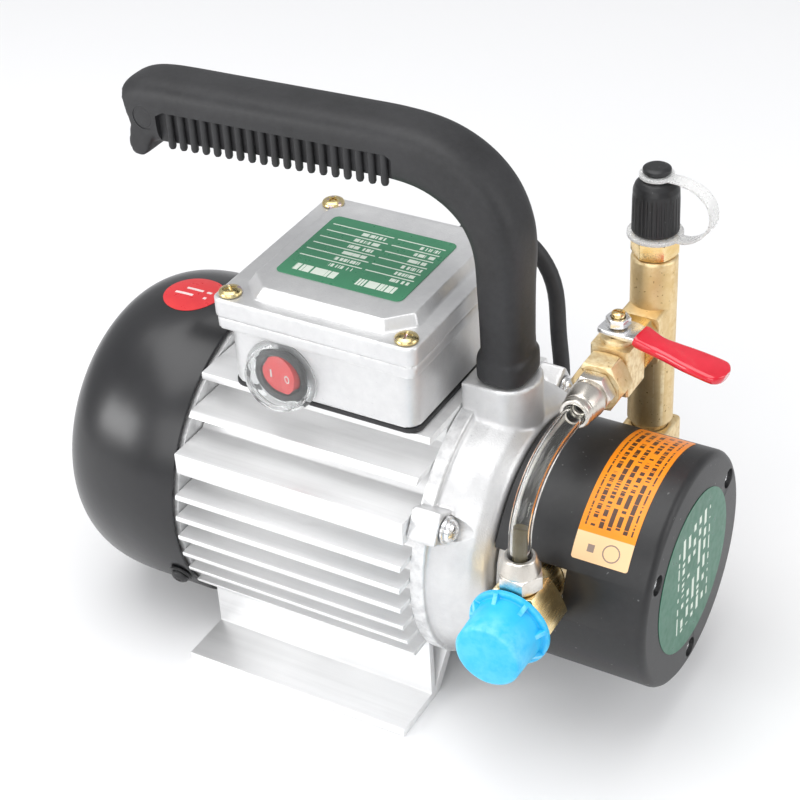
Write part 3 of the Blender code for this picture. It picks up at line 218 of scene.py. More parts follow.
def clear(name, tint, rough, ior, weight=1.0, body=(0.9, 0.92, 0.92), alpha=1.0):
    n = Nodes(name)
    b = n.bsdf
    v = n.coords()
    n.link(n.mix(n.ramp(n.noise(v, 120, 3.0), 0.4, 0.65), body, tint), b.inputs["Base Color"])
    n.link(n.ramp(n.noise(v, 420, 3.0), 0.35, 0.7, rough * 0.6, rough * 1.5), b.inputs["Roughness"])
    b.inputs["Transmission Weight"].default_value = weight
    b.inputs["IOR"].default_value = ior
    b.inputs["Alpha"].default_value = alpha
    n.link(n.bump(n.noise(v, 260, 2.0), 0.006 * MM), b.inputs["Normal"])
    return n.mat


M["clear_plastic"] = clear("clear_plastic", (0.93, 0.94, 0.94), 0.06, 1.17, 0.94, body=(0.95, 0.96, 0.96))
M["tube_clear"] = clear("tube_clear", (0.95, 0.94, 0.90), 0.04, 1.28, body=(0.96, 0.96, 0.94))
M["milky_plastic"] = clear("milky_plastic", (0.90, 0.90, 0.89), 0.30, 1.30, 0.45, (0.92, 0.92, 0.91))
M["oil"] = clear("oil", (0.15, 0.125, 0.07), 0.10, 1.40, 0.12, (0.19, 0.16, 0.095))


def label(name, ground, ground2, ink, rows, dash, fill=0.46, thr=0.42, margin=(0.08, 0.10), rough=0.35, frame_line=None, extra=None):
    """Printed film on the UV square: rows of generic bars on a plain ground, no lettering."""
    n = Nodes(name)
    b = n.bsdf
    uv = n.add("UVMap")
    uv.uv_map = "UVMap"
    sep = n.add("SeparateXYZ")
    n.link(uv.outputs[0], sep.inputs[0])
    u, v = sep.outputs[0], sep.outputs[1]
    row = n.math("MULTIPLY", v, float(rows))
    line = n.math("LESS_THAN", n.math("ABSOLUTE", n.math("SUBTRACT", n.math("FRACT", row), 0.5)), fill / 2)
    cell = n.add("CombineXYZ")
    n.link(n.math("MULTIPLY", u, float(dash)), cell.inputs[0])
    n.link(n.math("MULTIPLY", n.math("FLOOR", row), 3.71), cell.inputs[1])
    bars = n.math("GREATER_THAN", n.noise(cell.outputs[0], 1.0, 0.0), thr)
    inside = n.math("MULTIPLY", n.math("LESS_THAN", n.math("ABSOLUTE", n.math("SUBTRACT", u, 0.5)), 0.5 - margin[0]),
                    n.math("LESS_THAN", n.math("ABSOLUTE", n.math("SUBTRACT", v, 0.5)), 0.5 - margin[1]))
    mask = n.math("MULTIPLY", n.math("MULTIPLY", line, bars), inside)
    if frame_line:
        du = n.math("ABSOLUTE", n.math("SUBTRACT", u, 0.5))
        dv = n.math("ABSOLUTE", n.math("SUBTRACT", v, 0.5))
        for lo, hi in (frame_line,):
            ring_u = n.math("MULTIPLY", n.math("GREATER_THAN", du, lo), n.math("LESS_THAN", du, hi))
            ring_v = n.math("MULTIPLY", n.math("GREATER_THAN", dv, lo), n.math("LESS_THAN", dv, hi))
            box_in = n.math("MULTIPLY", n.math("LESS_THAN", du, hi), n.math("LESS_THAN", dv, hi))
            mask = n.math("MAXIMUM", mask, n.math("MULTIPLY", box_in, n.math("MAXIMUM", ring_u, ring_v)))
    w = n.coords()
    col = n.mix(n.ramp(n.noise(w, 70, 4.0), 0.35, 0.65), ground, ground2)
    if extra:
        col = extra(n, u, v, col)
    col = n.mix(mask, col, ink)
    n.link(col, b.inputs["Base Color"])
    n.link(n.ramp(n.noise(w, 300, 3.0), 0.3, 0.7, rough * 0.8, rough * 1.2), b.inputs["Roughness"])
    n.link(n.bump(n.noise(w, 900, 2.0), 0.01 * MM), b.inputs["Normal"])
    return n.mat


def plate_rules(n, u, v, col):
    """Six thin rules in two columns with short generic bars over them, and two broad bars by the front edge."""
    def between(x, lo, hi):
        return n.math("MULTIPLY", n.math("GREATER_THAN", x, lo), n.math("LESS_THAN", x, hi))
    row = n.math("MULTIPLY", n.math("SUBTRACT", v, 0.315), 9.2)
    fr_ = n.math("FRACT", row)
    rows_ = between(v, 0.315, 0.955)
    cols = n.math("MAXIMUM", between(u, 0.045, 0.545), between(u, 0.575, 0.955))
    rules = n.math("MULTIPLY", n.math("MULTIPLY", n.math("LESS_THAN", fr_, 0.13), rows_), cols)
    cell = n.add("CombineXYZ")
    n.link(n.math("MULTIPLY", u, 58.0), cell.inputs[0])
    n.link(n.math("MULTIPLY", n.math("FLOOR", row), 3.71), cell.inputs[1])
    dash_ = n.math("GREATER_THAN", n.noise(cell.outputs[0], 1.0, 1.0), 0.46)
    words = n.math("MAXIMUM", between(u, 0.30, 0.50), between(u, 0.78, 0.94))
    bars = n.math("MULTIPLY", n.math("MULTIPLY", between(fr_, 0.36, 0.80), dash_), n.math("MULTIPLY", words, between(v, 0.21, 0.86)))
    cell2 = n.add("CombineXYZ")
    n.link(n.math("MULTIPLY", u, 44.0), cell2.inputs[0])
    dash2 = n.math("GREATER_THAN", n.noise(cell2.outputs[0], 1.0, 1.0), 0.42)
    title = n.math("MULTIPLY", n.math("MULTIPLY", between(v, 0.085, 0.185), dash2), n.math("MAXIMUM", between(u, 0.10, 0.44), between(u, 0.60, 0.90)))
    return n.mix(n.math("MAXIMUM", n.math("MAXIMUM", rules, bars), title), col, (0.74, 0.82, 0.72))


def band_foot(n, u, v, col):
    """Pale strip at the front end of the band, with a plain ring and a bar on it."""
    foot = n.math("LESS_THAN", v, 0.145)
    col = n.mix(foot, col, (0.95, 0.62, 0.34))
    du = n.math("MULTIPLY", n.math("SUBTRACT", u, 0.66), 0.55)
    dv = n.math("MULTIPLY", n.math("SUBTRACT", v, 0.07), 1.85)
    r = n.math("SQRT", n.math("ADD", n.math("MULTIPLY", du, du), n.math("MULTIPLY", dv, dv)))
    ring = n.math("MULTIPLY", n.math("LESS_THAN", r, 0.085), n.math("GREATER_THAN", r, 0.072))
    du2 = n.math("ABSOLUTE", n.math("SUBTRACT", u, 0.30))
    bar = n.math("MULTIPLY", n.math("LESS_THAN", du2, 0.06), n.math("LESS_THAN", n.math("ABSOLUTE", n.math("SUBTRACT", v, 0.07)), 0.02))
    return n.mix(n.math("MAXIMUM", ring, bar), col, (0.30, 0.22, 0.18))


M["label_green"] = label("label_green", (0.045, 0.225, 0.115), (0.052, 0.245, 0.125), (0.72, 0.80, 0.72), 8, 16, 0.0, 2.0, (0.07, 0.12), 0.32, extra=plate_rules)
M["label_round"] = label("label_round", (0.014, 0.13, 0.07), (0.02, 0.15, 0.085), (0.70, 0.78, 0.68), 13, 24, 0.42, 0.47, (0.16, 0.27), 0.34)
M["label_orange"] = label("label_orange", (0.90, 0.26, 0.015), (0.95, 0.31, 0.02), (0.06, 0.03, 0.02), 22, 6, 0.0, 0.5, (0.08, 0.17), 0.38, extra=band_foot)
M["label_red"] = label("label_red", (0.72, 0.03, 0.04), (0.80, 0.05, 0.05), (0.90, 0.72, 0.70), 6, 7, 0.34, 0.46, (0.20, 0.30), 0.32)

# the band's own rows run along the band, so its bars are laid out the other way
def _band():
    n = Nodes("label_band")
    b = n.bsdf
    uv = n.add("UVMap")
    uv.uv_map = "UVMap"
    sep = n.add("SeparateXYZ")
    n.link(uv.outputs[0], sep.inputs[0])
    u, v = sep.outputs[0], sep.outputs[1]
    row = n.math("MULTIPLY", u, 7.0)
    line = n.math("LESS_THAN", n.math("ABSOLUTE", n.math("SUBTRACT", n.math("FRACT", row), 0.5)), 0.27)
    cell = n.add("CombineXYZ")
    n.link(n.math("MULTIPLY", v, 62.0), cell.inputs[0])
    n.link(n.math("MULTIPLY", n.math("FLOOR", row), 5.13), cell.inputs[1])
    bars = n.math("GREATER_THAN", n.noise(cell.outputs[0], 1.0, 2.0), 0.46)
    inside = n.math("MULTIPLY", n.math("LESS_THAN", n.math("ABSOLUTE", n.math("SUBTRACT", u, 0.5)), 0.42), n.math("GREATER_THAN", v, 0.18))
    inside = n.math("MULTIPLY", inside, n.math("LESS_THAN", v, 0.95))
    w = n.coords()
    col = n.mix(n.ramp(n.noise(w, 70, 4.0), 0.35, 0.65), (0.95, 0.275, 0.004), (0.98, 0.31, 0.006))
    col = band_foot(n, u, v, col)
    col = n.mix(n.math("MULTIPLY", n.math("MULTIPLY", line, bars), inside), col, (0.07, 0.025, 0.008))
    n.link(col, b.inputs["Base Color"])
    n.link(n.ramp(n.noise(w, 300, 3.0), 0.3, 0.7, 0.30, 0.42), b.inputs["Roughness"])
    n.link(n.bump(n.noise(w, 900, 2.0), 0.01 * MM), b.inputs["Normal"])
    return n.mat


M["label_band"] = _band()

# ---- mesh helpers (millimetres in, row frame out) -----------------------------


def to_object(name, bm, sharp=35.0):
    bmesh.ops.recalc_face_normals(bm, faces=bm.faces)
    me = bpy.data.meshes.new(name)
    bm.to_mesh(me)
    bm.free()
    o = bpy.data.objects.new(name, me)
    SCENE.collection.objects.link(o)
    me.shade_smooth()
    if sharp:
        me.set_sharp_from_angle(angle=math.radians(sharp))
    return o


TILT = {"Z": Matrix.Identity(3), "X": Matrix.Rotation(math.pi / 2, 3, "Y"), "Y": Matrix.Rotation(-math.pi / 2, 3, "X"),
        "-Y": Matrix.Rotation(math.pi / 2, 3, "X"), "-Z": Matrix.Rotation(math.pi, 3, "X")}


def place(axis, at, turn=0.0):
    t = axis if isinstance(axis, Matrix) else TILT[axis]
    m = (t @ Matrix.Rotation(turn, 3, "Z")).to_4x4()
    m.translation = Vector(at) + D
    return m


def put(bm, axis, at, turn=0.0):
    m = place(axis, at, turn)
    for v in bm.verts:
        v.co = (m @ v.co) * MM


def round_profile(pts, r, n=3, closed=False):
    """Rounds each corner of a (height, radius) line."""
    if r <= 0:
        return list(pts)
    out = []
    count = len(pts)
    for i, p in enumerate(pts):
        if not closed and i in (0, count - 1):
            out.append(p)
            continue
        a, b, c = Vector(pts[i - 1]), Vector(p), Vector(pts[(i + 1) % count])
        u, w = a - b, c - b
        if u.length < 1e-6 or w.length < 1e-6:
            continue
        d = min(r, u.length * 0.45, w.length * 0.45)
        if u.normalized().dot(w.normalized()) < -0.985 or d < 0.02:
            out.append(p)
            continue
        s, e = b + u.normalized() * d, b + w.normalized() * d
        for k in range(n + 1):
            t = k / n
            q = s * (1 - t) ** 2 + b * 2 * t * (1 - t) + e * t ** 2
            out.append((q.x, q.y))
    return out


def lathe(name, profile, axis="Z", at=(0, 0, 0), steps=64, ring=False, r=0.0, turn=0.0, sharp=38.0, n=3):
    prof = round_profile(profile, r, n, ring)
    bm = bmesh.new()
    rows = []
    for h, rad in prof:
        if rad < 1e-6:
            rows.append([bm.verts.new((0, 0, h))])
        else:
            rows.append([bm.verts.new((rad * math.cos(2 * math.pi * k / steps), rad * math.sin(2 * math.pi * k / steps), h)) for k in range(steps)])
    pairs = list(zip(rows, rows[1:])) + ([(rows[-1], rows[0])] if ring else [])
    for a, b in pairs:
        for k in range(steps):
            k2 = (k + 1) % steps
            if len(a) == 1 and len(b) == 1:
                continue
            if len(a) == 1:
                bm.faces.new((a[0], b[k2], b[k]))
            elif len(b) == 1:
                bm.faces.new((a[k], a[k2], b[0]))
            else:
                bm.faces.new((a[k], a[k2], b[k2], b[k]))
    put(bm, axis, at, turn)
    return to_object(name, bm, sharp)


def prism(name, outline, low, high, axis="Z", at=(0, 0, 0), turn=0.0, sharp=38.0):
    bm = bmesh.new()
    lo = [bm.verts.new((x, y, low)) for x, y in outline]
    hi = [bm.verts.new((x, y, high)) for x, y in outline]
    n = len(outline)
    bm.faces.new(lo[::-1])
    bm.faces.new(hi)
    for k in range(n):
        bm.faces.new((lo[k], lo[(k + 1) % n], hi[(k + 1) % n], hi[k]))
    put(bm, axis, at, turn)
    return to_object(name, bm, sharp)


def block(name, lo, hi, sharp=38.0):
    return prism(name, [(lo[0], lo[1]), (hi[0], lo[1]), (hi[0], hi[1]), (lo[0], hi[1])], lo[2], hi[2], sharp=sharp)


def loft(name, rings, sharp=38.0, closed=True, cap=True, raw=False):
    bm = bmesh.new()
    rows = [[bm.verts.new(p) for p in ring] for ring in rings]
    n = len(rows[0])
    for a, b in zip(rows, rows[1:]):
        for i in range(n if closed else n - 1):
            bm.faces.new((a[i], a[(i + 1) % n], b[(i + 1) % n], b[i]))
    if cap:
        bm.faces.new(rows[0][::-1])
        bm.faces.new(rows[-1])
    put(bm, "Z", (0, 0, 0))
    return to_object(name, bm, sharp)


def bake(o, sharp=38.0):
    """Applies the modifiers into the mesh."""
    bpy.context.view_layer.update()
    dg = bpy.context.evaluated_depsgraph_get()
    me = bpy.data.meshes.new_from_object(o.evaluated_get(dg))
    old = o.data
    o.modifiers.clear()
    o.data = me
    bpy.data.meshes.remove(old)
    me.shade_smooth()
    if sharp:
        me.set_sharp_from_angle(angle=math.radians(sharp))
    return o


def combine(o, tools, op="DIFFERENCE", sharp=38.0, solver="EXACT"):
    for t in tools:
        m = o.modifiers.new("b", "BOOLEAN")
        m.operation, m.object, m.solver = op, t, solver
    bake(o, sharp)
    for t in tools:
        me = t.data
        bpy.data.objects.remove(t, do_unlink=True)
        bpy.data.meshes.remove(me)
    return o


def bevel(o, width, segments=2, angle=32.0, sharp=None):
    m = o.modifiers.new("bevel", "BEVEL")
    m.width, m.segments, m.limit_method, m.angle_limit = width * MM, segments, "ANGLE", math.radians(angle)
    m.use_clamp_overlap = True
    m.harden_normals = False
    return bake(o, sharp if sharp is not None else 42.0)


def cast(o, voxel=0.6, smooth=3, factor=0.5):
    """Soft edges and fillets of a casting."""
    m = o.modifiers.new("r", "REMESH")
    m.mode, m.voxel_size, m.use_smooth_shade = "VOXEL", voxel * MM, True
    s = o.modifiers.new("s", "SMOOTH")
    s.factor, s.iterations = factor, smooth
    return bake(o, 60.0)


def merge(name, objs):
    """One piece from several meshes."""
    bm = bmesh.new()
    for o in objs:
        bm.from_mesh(o.data)
    me = bpy.data.meshes.new(name)
    bm.to_mesh(me)
    bm.free()
    keep = bpy.data.objects.new(name, me)
    SCENE.collection.objects.link(keep)
    for o in objs:
        old = o.data
        bpy.data.objects.remove(o, do_unlink=True)
        bpy.data.meshes.remove(old)
    me.shade_smooth()
    me.set_sharp_from_angle(angle=math.radians(38))
    return keep


def hexagon(flats, turn=0.0):
    r = flats / math.sqrt(3)
    return [(r * math.cos(math.radians(60 * i) + turn), r * math.sin(math.radians(60 * i) + turn)) for i in range(6)]


def nut(name, flats, low, high, axis, at, turn=0.0, both=True, hole=None):
    """Hexagon with its corners turned off."""
    o = prism(name, hexagon(flats), low, high, axis, at, turn)
    r = flats / math.sqrt(3)
    c = r - flats / 2
    prof = [(high + 0.01, 0), (high + 0.01, r - c * 1.15), (high - c * 0.62, r + 0.05)]
    prof += [(low + c * 0.62, r + 0.05), (low - 0.01, r - c * 1.15), (low - 0.01, 0)] if both else [(low - 0.01, r + 0.05), (low - 0.01, 0)]
    o = combine(o, [lathe(name + "_c", prof, axis, at, 72)], "INTERSECT")
    if hole:
        o = combine(o, [lathe(name + "_h", [(high + 1, 0), (high + 1, hole), (low - 1, hole), (low - 1, 0)], axis, at, 48)])
    return bevel(o, 0.16, 2, 20)


def rounded(x0, x1, y0, y1, r, n=8):
    out = []
    for cx, cy, a0 in ((x1 - r, y1 - r, 0), (x0 + r, y1 - r, 90), (x0 + r, y0 + r, 180), (x1 - r, y0 + r, 270)):
        for i in range(n + 1):
            a = math.radians(a0 + 90 * i / n)
            out.append((cx + r * math.cos(a), cy + r * math.sin(a)))
    return out


def chamfered(x0, x1, y0, y1, c):
    return [(x1, y0 + c), (x1, y1 - c), (x1 - c, y1), (x0 + c, y1), (x0, y1 - c), (x0, y0 + c), (x0 + c, y0), (x1 - c, y0)]


def smooth_path(knots, step):
    k = [Vector(p) for p in knots]
    k = [2 * k[0] - k[1]] + k + [2 * k[-1] - k[-2]]
    fine = []
    for i in range(1, len(k) - 2):
        for j in range(40):
            t = j / 40
            fine.append(0.5 * ((2 * k[i]) + (k[i + 1] - k[i - 1]) * t + (2 * k[i - 1] - 5 * k[i] + 4 * k[i + 1] - k[i + 2]) * t * t
                               + (3 * k[i] - k[i - 1] - 3 * k[i + 1] + k[i + 2]) * t ** 3))
    fine.append(k[-2])
    out, run = [fine[0]], 0.0
    for a, b in zip(fine, fine[1:]):
        run += (b - a).length
        if run >= step:
            out.append(b)
            run = 0.0
    if (out[-1] - fine[-1]).length < step * 0.5:
        out[-1] = fine[-1]
    else:
        out.append(fine[-1])
    return out


def yz(angle, radius):
    a = math.radians(angle)
    return radius * math.cos(a), AXIS_Z + radius * math.sin(a)


DONE = set()


def piece(o, body, nodes, mat):
    """Rides on a body, stands for its CAD nodes and takes its finish."""
    o.data.materials.clear()
    o.data.materials.append(M[mat] if isinstance(mat, str) else mat)
    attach(o, body)
    if nodes:
        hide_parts(*nodes)
        DONE.update(nodes)
    return o


SLOT = {s["node"]: s["material_slot"] for s in frame["record"]["subparts"]}

# ---- camera first -----------------------------------------------------------
cam_data = bpy.data.cameras.new("camera")
cam = bpy.data.objects.new("camera", cam_data)
SCENE.collection.objects.link(cam)
SCENE.camera = cam
AZ, EL, ROLL = math.radians(31.48), math.radians(34.89), math.radians(-3.53)
back = Vector((math.sin(AZ) * math.cos(EL), -math.cos(AZ) * math.cos(EL), math.sin(EL)))
right = (-back).cross(Vector((0, 0, 1))).normalized()
up = right.cross(-back)
cr = right * math.cos(ROLL) + up * math.sin(ROLL)
cu = -right * math.sin(ROLL) + up * math.cos(ROLL)
rot = Matrix((cr, cu, back)).transposed()
cam.matrix_world = Matrix.Translation((Vector((306.385, -509.916, 519.871)) + D) * MM) @ rot.to_4x4()
cam_data.sensor_width = 36.0
cam_data.lens = 1912.2 / 800 * 36.0
cam_data.clip_start = 0.01

# ---- cord first: route, coil and tail ------------------------------------------
R7 = CORD_D / 2
COIL = (-65.7, 118.0)
ROUTE = [(-16.0, 62.6, 135.0), (-16.0, 76.4, 135.0), (-13.7, 87.4, 132.6), (-9.0, 96.3, 127.5), (-2.8, 102.4, 119.8), (4.4, 104.8, 109.9), (10.5, 103.0, 98.5), (14.5, 96.7, 81.1), (18.1, 92.7, 67.8),
              (22.1, 82.1, 50.3), (19.0, 74.6, 37.3), (10.2, 71.9, 24.6), (0.7, 74.0, 14.7), (-7.3, 82.0, 7.6), (-11.9, 93.6, 3.5), (-12.9, 107.0, 2.5)]
path = list(smooth_path([Vector(p) for p in ROUTE], 4.0))
TURNS, PER = 6, 48
radii = [45.5, 38.5, 31.5, 31.5, 38.5, 45.5]


def ease(t):
    t = max(0.0, min(1.0, t))
    return t * t * (3 - 2 * t)


T_EXIT = TURNS + 50 / 360
n_end = int(T_EXIT * PER)
for i in range(0, n_end + 1):
    t = i / PER
    k = min(int(t), TURNS - 1)
    f = t - k
    r = radii[k]
    if k + 1 < TURNS and f > 0.5:
        r += (radii[k + 1] - radii[k]) * ease((f - 0.5) / 0.28)
    if k == 0:
        r += 7.4 * (1 - ease(f / 0.5))
    r += 7.6 * ease((t - 5.78) / (T_EXIT - 5.78))
    z = FLOOR + 3.8 + 7.0 * ease((t - 2.72) / 0.28) - 1.2 * ease((t - 6.02) / 0.12)
    a = 2 * math.pi * t
    path.append(Vector((COIL[0] + r * math.cos(a), COIL[1] + r * math.sin(a), z)))
TAIL = [path[-1], (-40.0, 165.8, FLOOR + 6.8), (-49.5, 173.8, FLOOR + 6.4), (-59.0, 179.4, FLOOR + 8.4), (-68.0, 181.8, FLOOR + 10.2), (-74.4, 182.0, FLOOR + 10.4)]
path += smooth_path([Vector(p) for p in TAIL], 4.0)[1:]
# a few passes of averaging keep one smooth curve where the stretches meet
ends = (path[0].copy(), path[-1].copy())
for _ in range(3):
    path = [path[0]] + [path[i - 1] * 0.25 + path[i] * 0.5 + path[i + 1] * 0.25 for i in range(1, len(path) - 1)] + [path[-1]]
rings = []
side = None
for i, p in enumerate(path):
    t = (path[min(i + 1, len(path) - 1)] - path[max(i - 1, 0)]).normalized()
    if side is None:
        side = t.cross(Vector((0, 0, 1))).normalized()
    side = (side - t * side.dot(t)).normalized()
    up2 = t.cross(side)
    rings.append([tuple(p + (side * math.cos(2 * math.pi * k / 20) + up2 * math.sin(2 * math.pi * k / 20)) * R7) for k in range(20)])
flex = loft("mains_flex", rings, sharp=60)
piece(flex, "pump", ["power_cord", "cord_coil", "cord_tail"], "black_rubber")
cord_len = sum((b - a).length for a, b in zip(path, path[1:])) * MM
print("CORD LENGTH", round(cord_len, 4), len(path))

# plug on the end of the cord, and the tie round the coil
PLUG = (-108.0, 182.0, FLOOR + 10.4)
prof = [(34.0, 0), (34.0, 4.4)]
for k in range(6):
    h = 32.0 - 2.5 * k
    rr = 4.5 + (32.0 - h) * 0.21
    prof += [(h, rr), (h - 0.3, rr - 0.75), (h - 1.1, rr - 0.75), (h - 1.4, rr + 0.25)]
prof += [(17.0, 7.8), (14.5, 9.6), (12.0, 10.0), (1.5, 10.0), (0, 9.0), (0, 0)]
body_ = lathe("plug_body", prof, "X", PLUG, 72, r=0.25, n=2)
flat = [block("pf%d" % s, (PLUG[0] - 2, PLUG[1] + (8.4 if s > 0 else -14), PLUG[2] - 12), (PLUG[0] + 14, PLUG[1] + (14 if s > 0 else -8.4), PLUG[2] + 12)) for s in (-1, 1)]
combine(body_, flat)
bevel(body_, 0.35, 2, 30)
pins_ = [lathe("pin%d" % s, [(1.0, 0), (1.0, 2.3), (-8.5, 2.3), (-8.5, 2.4), (-17.6, 2.4), (-18.7, 1.9), (-19, 0)], "X", (PLUG[0], PLUG[1] + 4.75 * s, PLUG[2]), 32) for s in (-1, 1)]
plug_pins = merge("plug_pins", pins_)
piece(body_, "pump", ["mains_plug"], "black_plastic")
piece(plug_pins, "pump", None, "brass")
tie_a = math.radians(200)
tc = Vector((COIL[0] + 38.5 * math.cos(tie_a), COIL[1] + 38.5 * math.sin(tie_a), FLOOR + 7.3))
rad, tan = Vector((math.cos(tie_a), math.sin(tie_a), 0)), Vector((-math.sin(tie_a), math.cos(tie_a), 0))
tie_out = []
for k in range(40):
    a = 2 * math.pi * k / 40
    c, s_ = math.cos(a), math.sin(a)
    tie_out.append((math.copysign(abs(c) ** 0.42, c) * 11.2, math.copysign(abs(s_) ** 0.42, s_) * 7.6))
tie_rings = []
for grow, along in ((0.0, -2.2), (0.55, -2.2), (0.55, 2.2), (0.0, 2.2)):
    tie_rings.append([tuple(tc + rad * (x * (1 + grow / 11.2)) + Vector((0, 0, max(z * (1 + grow / 7.6), -7.0))) + tan * along) for x, z in tie_out])
bm = bmesh.new()
rows = [[bm.verts.new((Vector(p) + D) * MM) for p in ring] for ring in tie_rings]
for a, b in zip(rows, rows[1:] + rows[:1]):
    for i in range(40):
        bm.faces.new((a[i], a[(i + 1) % 40], b[(i + 1) % 40], b[i]))
tie = to_object("cord_tie", bm, 50)
piece(tie, "pump", None, "black_plastic")

# ---- fan cowl, its screws and round sticker -------------------------------------
prof = [(COWL_X0, COWL_R - 1.3), (COWL_X0, COWL_R - 0.35), (COWL_X0 - 0.35, COWL_R), (COWL_X0 - COWL_CYL, COWL_R)]
dome = []
for i in range(1, 41):
    t = math.sin(math.radians(88.5) * i / 40) ** 0.92
    dome.append((COWL_X0 - COWL_CYL - COWL_DOME * t, COWL_R * (1 - t ** 2.4) ** (1 / 5.2)))
prof += dome + [(COWL_X0 - COWL_CYL - COWL_DOME, 0)]
inner = [(COWL_X0 - COWL_CYL - COWL_DOME + 1.3, 0)]
for i in range(30, 0, -1):
    t = math.sin(math.radians(88.5) * i / 30) ** 0.92
    inner.append((COWL_X0 - COWL_CYL - (COWL_DOME - 1.3) * t, (COWL_R - 1.3) * (1 - t ** 2.4) ** (1 / 5.2)))
inner += [(COWL_X0 - COWL_CYL, COWL_R - 1.3)]
cowl = lathe("cowl_shell", prof + inner, "X", AX, 160, ring=True, sharp=50)
slots = []
for k in range(12):
    a = 2 * math.pi * (k + 0.27) / 12
    m = Matrix(((0, math.cos(a), math.sin(a)), (0, -math.sin(a), math.cos(a)), (1, 0, 0))).transposed()
    slots.append(prism("vent", rounded(17, 43, -2.4, 2.4, 2.35, 6), -140, -120, m, AX))
combine(cowl, slots, sharp=50)
piece(cowl, "pump", ["fan_cowl"], "black_paint")


def on_round(angle, x, radius):
    """Frame on a cylinder about the shaft; angle from +Y toward +Z."""
    a = math.radians(angle)
    out = Vector((0, math.cos(a), math.sin(a)))
    along = Vector((1, 0, 0))
    side_ = out.cross(along)
    m = Matrix((along, side_, out)).transposed()
    return m, (x, radius * math.cos(a), AXIS_Z + radius * math.sin(a))


def phillips(name, m, at, depth, size, top):
    """Cross recess cutter, tapering inwards."""
    objs = []
    for k in range(2):
        w, l = size * 0.17, size
        rings = []
        for h, f in ((top + 0.4, 1.08), (top - depth * 0.55, 0.72), (top - depth, 0.30)):
            rings.append([(-l * f, -w * (0.6 + 0.4 * f), h), (l * f, -w * (0.6 + 0.4 * f), h), (l * f, w * (0.6 + 0.4 * f), h), (-l * f, w * (0.6 + 0.4 * f), h)])
        bm = bmesh.new()
        rows = [[bm.verts.new(p) for p in ring] for ring in rings]
        for a, b in zip(rows, rows[1:]):
            for i in range(4):
                bm.faces.new((a[i], a[(i + 1) % 4], b[(i + 1) % 4], b[i]))
        bm.faces.new(rows[0][::-1])
        bm.faces.new(rows[-1])
        put(bm, m, at, math.pi / 2 * k + 0.35)
        objs.append(to_object(name + str(k), bm))
    return objs


def pan_screw(name, head_r, head_h, axis, at, body, nodes, mat, washer=0.0, washer_t=1.0, shank=1.6, length=8.0, turn=0.0):
    m = axis if isinstance(axis, Matrix) else TILT[axis]
    m = m @ Matrix.Rotation(turn, 3, "Z")
    prof = [(head_h, 0), (head_h * 0.985, head_r * 0.35), (head_h * 0.86, head_r * 0.66), (head_h * 0.58, head_r * 0.92), (head_h * 0.30, head_r), (0.0, head_r), (0.0, shank), (-length, shank), (-length - 0.5, shank * 0.7), (-length - 0.5, 0)]
    o = lathe(name, prof, m, at, 56, r=0.12, n=2)
    combine(o, phillips(name + "_c", m, at, head_h * 0.72, head_r * 0.56, head_h))
    bevel(o, 0.07, 2, 35)
    objs = [o]
    if washer:
        wr = head_r + washer
        objs.append(lathe(name + "_w", [(0.0, shank + 0.25), (0.0, wr - 0.25), (-0.2, wr), (-washer_t + 0.2, wr), (-washer_t, wr - 0.2), (-washer_t, shank + 0.25)], m, at, 56, ring=True))
    o = merge(name, objs) if len(objs) > 1 else o
    o.name = name
    return piece(o, body, nodes, mat)


for i, a in enumerate((206.6, 333.4, 30.0)):
    m, at = on_round(a, -77.0, COWL_R + 1.55)
    pan_screw("cowl_screw_fine_%d" % (i + 1), 3.6, 2.4, m, at, "pump", ["cowl_screw_%d" % (i + 1)], "black_plastic", washer=1.2, washer_t=1.2, shank=1.7, length=5.4, turn=0.3 * i)


def cowl_r(x):
    t = max(0.0, (COWL_X0 - COWL_CYL - x) / COWL_DOME)
    return COWL_R * (1 - min(t, 0.99) ** 2.4) ** (1 / 5.2)


def wrapped(name, x0, a0, radius, outline, thick, mat, body="pump", steps=28, shape=None):
    """Film on a cylinder about the shaft: outline in (mm along X, mm round), from +Y toward +Z at a0."""
    bm = bmesh.new()
    vs = [bm.verts.new((x, y, 0)) for x, y in outline]
    f = bm.faces.new(vs)
    xs, ys = [p[0] for p in outline], [p[1] for p in outline]
    lo, hi = (min(xs), min(ys)), (max(xs), max(ys))
    for ax_, k0, k1 in ((0, lo[0], hi[0]), (1, lo[1], hi[1])):
        for k in range(1, steps):
            v = k0 + (k1 - k0) * k / steps
            co = (v, 0, 0) if ax_ == 0 else (0, v, 0)
            no = (1, 0, 0) if ax_ == 0 else (0, 1, 0)
            bmesh.ops.bisect_plane(bm, geom=bm.verts[:] + bm.edges[:] + bm.faces[:], plane_co=co, plane_no=no)
    res = bmesh.ops.extrude_face_region(bm, geom=bm.faces[:])
    for v in [g for g in res["geom"] if isinstance(g, bmesh.types.BMVert)]:
        v.co.z = thick
    uv = bm.loops.layers.uv.new("UVMap")
    for face in bm.faces:
        for loop in face.loops:
            c = loop.vert.co
            loop[uv].uv = ((c.x - lo[0]) / (hi[0] - lo[0]), (c.y - lo[1]) / (hi[1] - lo[1]))
    for v in bm.verts:
        x, s, h = v.co
        a = math.radians(a0) + s / radius
        rr = (shape(x0 + x) if shape else radius) + 0.03 + h
        v.co = (Vector((x0 + x, rr * math.cos(a), AXIS_Z + rr * math.sin(a))) + D) * MM
    o = to_object(name, bm, 40)
    return piece(o, body, None, mat)


